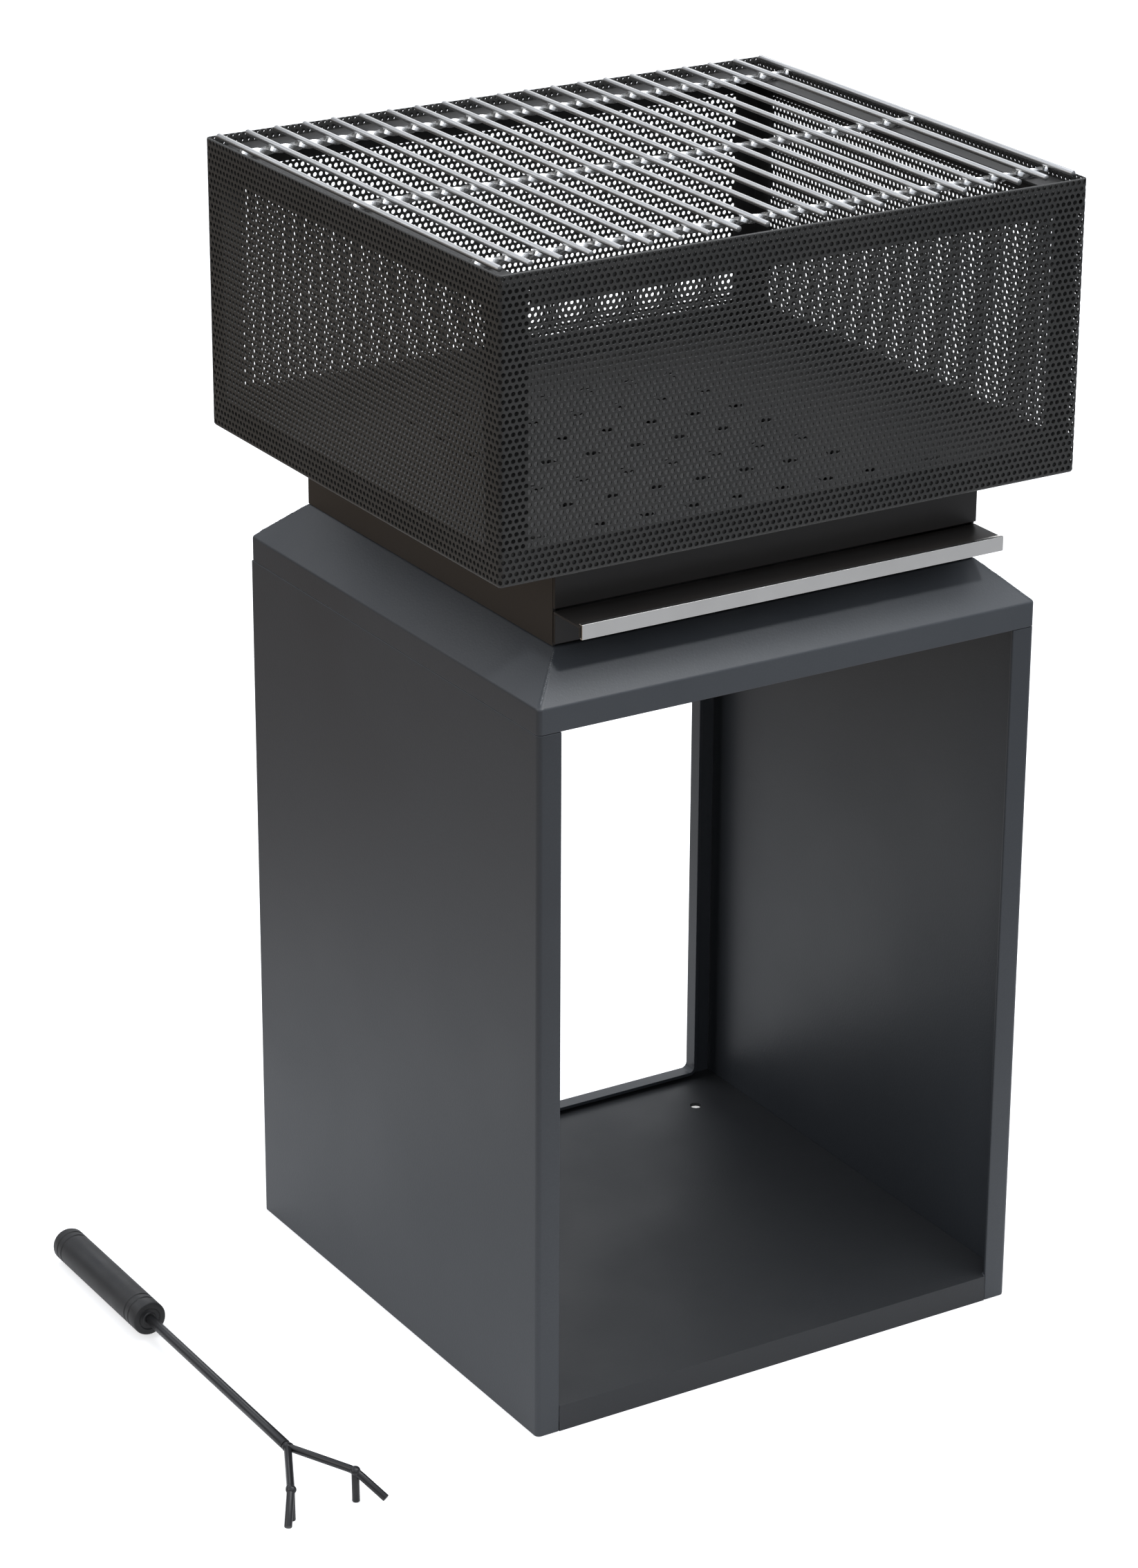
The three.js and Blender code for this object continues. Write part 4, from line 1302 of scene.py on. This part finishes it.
@dataclass
class LiftingTool:
    """The hand tool that lifts the grate: grip, shaft and a two-pronged fork on two feet.

    It is made in its own frame, with the rear end of the grip at the origin and the axis forward
    along -Y, and then laid on the ground.
    """

    grip_length: float = 159 * MM
    grip_radius: float = 14 * MM
    groove_depth: float = 0.9 * MM
    groove_half: float = 1.1 * MM
    groove_insets: tuple[float, float] = (12 * MM, 19 * MM)
    grip_sides: int = 48
    shaft_radius: float = 4 * MM
    shaft_length: float = 237 * MM
    shaft_sides: int = 20
    shaft_steps: int = 6
    shaft_end: float = 0.6 * MM
    prong_radius: float = 3 * MM
    prong_sides: int = 16
    prong_end: float = 0.5 * MM
    prong_bend: float = 6 * MM
    knee_weld: float = 4 * MM
    fork_weld: float = 4.4 * MM
    weld_shape: Vector = Vector((1.0, 1.15, 0.86))
    weld_wobble: float = 0.13
    weld_wobble_scale: float = 260
    knee_spread: float = 27 * MM
    knee_reach: float = 58 * MM
    tip: Vector = Vector((14 * MM, -22 * MM, -17 * MM))
    knee_height: float = 26 * MM
    rear_end: Vector = Vector((-402 * MM, 230 * MM, 0))
    turn: float = math.radians(-1.3)
    seat_gap: float = 0.3 * MM

    @property
    def fork_start(self) -> float:
        """Where the prongs meet, along the axis."""
        return -(self.grip_length + self.shaft_length + 2 * self.seat_gap + self.prong_radius)

    @property
    def tilt(self) -> float:
        """How far the shaft rises towards the fork."""
        reach = self.knee_reach - self.fork_start
        return math.asin((self.knee_height - self.grip_radius) / reach)

    def lay(self, bm: bmesh.types.BMesh) -> bmesh.types.BMesh:
        """Moves a mesh from the tool's own frame to where the tool lies."""
        place = self.rear_end + Vector((0, 0, self.grip_radius * math.cos(self.tilt)))
        matrix = (Matrix.Translation(place) @ Matrix.Rotation(self.turn, 4, "Z")
                  @ Matrix.Rotation(-self.tilt, 4, "X"))
        bmesh.ops.transform(bm, matrix=matrix, verts=bm.verts)
        return bm

    def build(self) -> None:
        """Builds and dresses the tool's pieces."""
        publish(self.lay(self.grip()), "grip_sleeve", FINISHES.grip, Body.TOOL, ["tool_grip"], 30.0)
        start = -self.grip_length - self.seat_gap
        path = [Vector((0, start - self.shaft_length * step / self.shaft_steps, 0))
                for step in range(self.shaft_steps + 1)]
        shaft = round_rod(path, self.shaft_radius, self.shaft_sides, self.shaft_end)
        publish(self.lay(shaft), "tool_long_shaft", FINISHES.tool, Body.TOOL, ["tool_shaft"])
        publish(self.lay(self.fork()), "tool_prongs", FINISHES.tool, Body.TOOL, ["tool_fork"])

    def grip(self) -> bmesh.types.BMesh:
        """Makes the grip, with its rounded rear end, grooves and recessed front face."""
        radius, length = self.grip_radius, self.grip_length
        profile = [(0.0, 0.0), (radius * 0.55, 0.25 * MM), (radius * 0.8, 1.1 * MM),
                   (radius * 0.93, 2.6 * MM), (radius, 5 * MM)]
        grooves = [*self.groove_insets, *[length - inset for inset in reversed(self.groove_insets)]]
        for at in grooves:
            profile += [(radius, at - self.groove_half), (radius - self.groove_depth * 0.75, at - 0.5 * MM),
                        (radius - self.groove_depth, at), (radius - self.groove_depth * 0.75, at + 0.5 * MM),
                        (radius, at + self.groove_half)]
        profile += [(radius, length - 1.6 * MM), (radius - 0.5 * MM, length - 0.5 * MM),
                    (radius - 1.6 * MM, length), (radius * 0.66, length), (radius * 0.6, length - 0.7 * MM),
                    (radius * 0.42, length - 0.7 * MM), (radius * 0.36, length), (0.0, length)]
        bm = lathe(profile, self.grip_sides)
        bmesh.ops.rotate(bm, cent=ORIGIN, matrix=Matrix.Rotation(math.pi / 2, 3, "X"), verts=bm.verts)
        return bm

    def fork(self) -> bmesh.types.BMesh:
        """Makes the two bent prongs, their feet and the weld that joins them to the shaft."""
        bm = bmesh.new()
        start = Vector((0, self.fork_start, 0))
        foot_drop = self.knee_height / math.cos(self.tilt)
        for sign in (-1, 1):
            knee = start + Vector((sign * self.knee_spread, -self.knee_reach, 0))
            end = knee + Vector((sign * self.tip.x, self.tip.y, self.tip.z))
            foot = knee + Vector((0, 0, -foot_drop + self.prong_radius * math.sin(self.tilt)))
            for path in ([start, start.lerp(knee, 0.5), *rounded(start, knee, end, self.prong_bend), end],
                         [knee, knee.lerp(foot, 0.5), foot]):
                absorb(bm, round_rod(path, self.prong_radius, self.prong_sides, self.prong_end))
            absorb(bm, self.fillet(knee, self.knee_weld, 3 + sign))
        absorb(bm, self.fillet(start, self.fork_weld, 9))
        return bm

    def fillet(self, centre: Vector, size: float, seed: int) -> bmesh.types.BMesh:
        """Makes the uneven weld round a joint of two rods.

        Args:
            centre: The joint.
            size: The weld's radius.
            seed: Shifts its unevenness.

        Returns:
            The weld.
        """
        bm = bmesh.new()
        bmesh.ops.create_icosphere(bm, subdivisions=3, radius=size)
        bmesh.ops.scale(bm, vec=self.weld_shape, verts=bm.verts)
        for vert in bm.verts:
            wobble = noise.noise(vert.co * self.weld_wobble_scale + Vector((seed, 0, 0)))
            vert.co *= 1 + self.weld_wobble * wobble
        bmesh.ops.translate(bm, vec=centre, verts=bm.verts)
        return bm


# ---- Studio -------------------------------------------------------------------------------------


@dataclass
class Softbox:
    """One soft light."""

    name: str
    place: Vector
    target: Vector
    size: tuple[float, float]
    watts: float
    colour: tuple[float, float, float] = (1.0, 1.0, 1.0)

    def build(self) -> bpy.types.Object:
        """Places the light and returns it."""
        data = bpy.data.lights.new(self.name, "AREA")
        data.shape = "RECTANGLE"
        data.size, data.size_y = self.size
        data.energy = self.watts
        data.color = self.colour
        light = bpy.data.objects.new(self.name, data)
        light.location = self.place
        light.rotation_euler = (self.target - self.place).to_track_quat("-Z", "Y").to_euler()
        bpy.context.scene.collection.objects.link(light)
        return light


@dataclass
class Studio:
    """The camera, the pale floor, the surround and the lights."""

    camera_place: Vector = Vector((-1.84301, -2.89205, 1.83743))
    camera_turn: tuple[float, float, float] = (67.5087, -0.26593, -31.53884)
    lens: float = 107.44
    floor_half: float = 40.0
    floor_tone: Colour = (0.76, 0.76, 0.76, 1.0)
    floor_second_tone: Colour = (0.80, 0.80, 0.80, 1.0)
    floor_glow: float = 0.62
    near_bounce: Colour = (0.74, 0.74, 0.74, 1.0)
    left_bounce: Colour = (0.20, 0.155, 0.115, 1.0)
    right_bounce: Colour = (0.40, 0.40, 0.40, 1.0)
    near_glow: float = 0.22
    far_glow: float = 0.0
    near_radius: float = 0.45
    far_radius: float = 1.25
    cap_light_watts: float = 42.0
    horizon: Colour = (0.24, 0.25, 0.27, 1.0)
    zenith: Colour = (0.78, 0.83, 0.92, 1.0)
    sky_heights: tuple[float, float] = (0.1, 0.85)
    bounce_places: tuple[float, float] = (-0.6, 0.4)
    middle: Vector = Vector((0, 0, 0.5))

    def build(self) -> None:
        """Builds the whole studio."""
        self.build_camera()
        self.build_floor()
        self.build_surround()
        middle = self.middle
        for light in (
            Softbox("top_softbox", Vector((0.6, -0.3, 3.4)), middle, (2.4, 2.4), 66.0),
            Softbox("front_left_softbox", Vector((-1.4, -2.8, 2.4)), middle, (1.5, 1.5), 6.0),
            Softbox("back_softbox", Vector((1.8, 3.2, 2.2)), middle, (2.6, 1.4), 16.0),
            Softbox("back_left_softbox", Vector((-1.7, 2.6, 2.3)), middle, (1.8, 1.8), 8.0),
            Softbox("front_softbox", Vector((1.2, -3.0, 1.8)), middle, (1.8, 1.8), 4.5,
                    (0.90, 0.95, 1.0)),
            Softbox("left_softbox", Vector((-3.0, 0.2, 1.8)), middle, (1.8, 1.8), 15.0,
                    (1.0, 0.93, 0.85)),
        ):
            light.build()
        bpy.context.scene.view_settings.view_transform = "Standard"

    def build_cap_light(self, pieces: Sequence[str]) -> None:
        """Builds the small light that is flagged off everything but a few pieces.

        Args:
            pieces: Names of the pieces that it lights.
        """
        lit = bpy.data.collections.new("lit_by_cap_light")
        for name in pieces:
            lit.objects.link(bpy.data.objects[name])
        light = Softbox("cap_softbox", Vector((0.36, -1.98, 3.1)), Vector((0, 0, 0.6)), (0.22, 0.22),
                        self.cap_light_watts).build()
        light.light_linking.receiver_collection = lit

    def build_camera(self) -> None:
        """Places the camera."""
        data = bpy.data.cameras.new("camera")
        data.lens = self.lens
        camera = bpy.data.objects.new("camera", data)
        camera.location = self.camera_place
        camera.rotation_euler = [math.radians(angle) for angle in self.camera_turn]
        bpy.context.scene.collection.objects.link(camera)
        bpy.context.scene.camera = camera

    def build_floor(self) -> None:
        """Builds the pale floor."""
        bm = bmesh.new()
        bmesh.ops.create_grid(bm, x_segments=4, y_segments=4, size=self.floor_half)
        mesh = bpy.data.meshes.new("studio_floor")
        bm.to_mesh(mesh)
        bm.free()
        material, tree, shader, place = principled("pale_floor")
        clouds = tree.noise(place, 1.2, 3.0, 0.5)
        seen = tree.node("ShaderNodeLightPath").outputs["Is Camera Ray"]
        tone = tree.blended(clouds, self.floor_tone, self.floor_second_tone)
        length = tree.node("ShaderNodeVectorMath", {"operation": "LENGTH"})
        tree.feed(length.inputs[0], place)
        away = tree.ranged(length.outputs["Value"], self.near_radius, self.far_radius, 0.0, 1.0)
        across = tree.node("ShaderNodeSeparateXYZ", Vector=place).outputs["X"]
        far_tone = tree.blended(tree.ranged(across, *self.bounce_places, 0.0, 1.0), self.left_bounce,
                                self.right_bounce)
        bounce = tree.blended(away, self.near_bounce, far_tone)
        tree.feed(shader.inputs["Base Color"], tree.blended(seen, bounce, tone))
        unseen_glow = tree.ranged(away, 0.0, 1.0, self.near_glow, self.far_glow)
        unseen_share = tree.math("MULTIPLY", unseen_glow, tree.math("SUBTRACT", 1.0, seen))
        glow = tree.math("ADD", unseen_share, tree.math("MULTIPLY", seen, self.floor_glow))
        tree.feed(shader.inputs["Emission Strength"], glow)
        shader.inputs["Roughness"].default_value = 0.9
        shader.inputs["Specular IOR Level"].default_value = 0.1
        shader.inputs["Emission Color"].default_value = (1.0, 1.0, 1.0, 1.0)
        mesh.materials.append(material)
        floor = bpy.data.objects.new("studio_floor", mesh)
        bpy.context.scene.collection.objects.link(floor)

    def build_surround(self) -> None:
        """Lights the surround, dimmer at the horizon than overhead."""
        world = bpy.data.worlds.new("surround")
        world.use_nodes = True
        tree = Tree(world.node_tree)
        direction = tree.node("ShaderNodeTexCoord").outputs["Generated"]
        height = tree.node("ShaderNodeSeparateXYZ", Vector=direction).outputs["Z"]
        sky = world.node_tree.nodes["Background"]
        tree.feed(sky.inputs["Color"], tree.blended(
            tree.ranged(height, *self.sky_heights, 0.0, 1.0), self.horizon, self.zenith))
        bpy.context.scene.world = world


def main() -> None:
    """Builds the studio, then each sub-assembly, and writes how big the result is."""
    logging.basicConfig(level=logging.INFO, format="%(message)s")
    studio = Studio()
    studio.build()
    for assembly in (Plinth(), Housing(), AshDrawer(), FireBasket(), Grate(), LiftingTool()):
        LOG.info("Building %s", type(assembly).__name__)
        assembly.build()
    studio.build_cap_light(("sloped_cap", "cap_mitre_seams"))


if __name__ == "__main__":
    main()
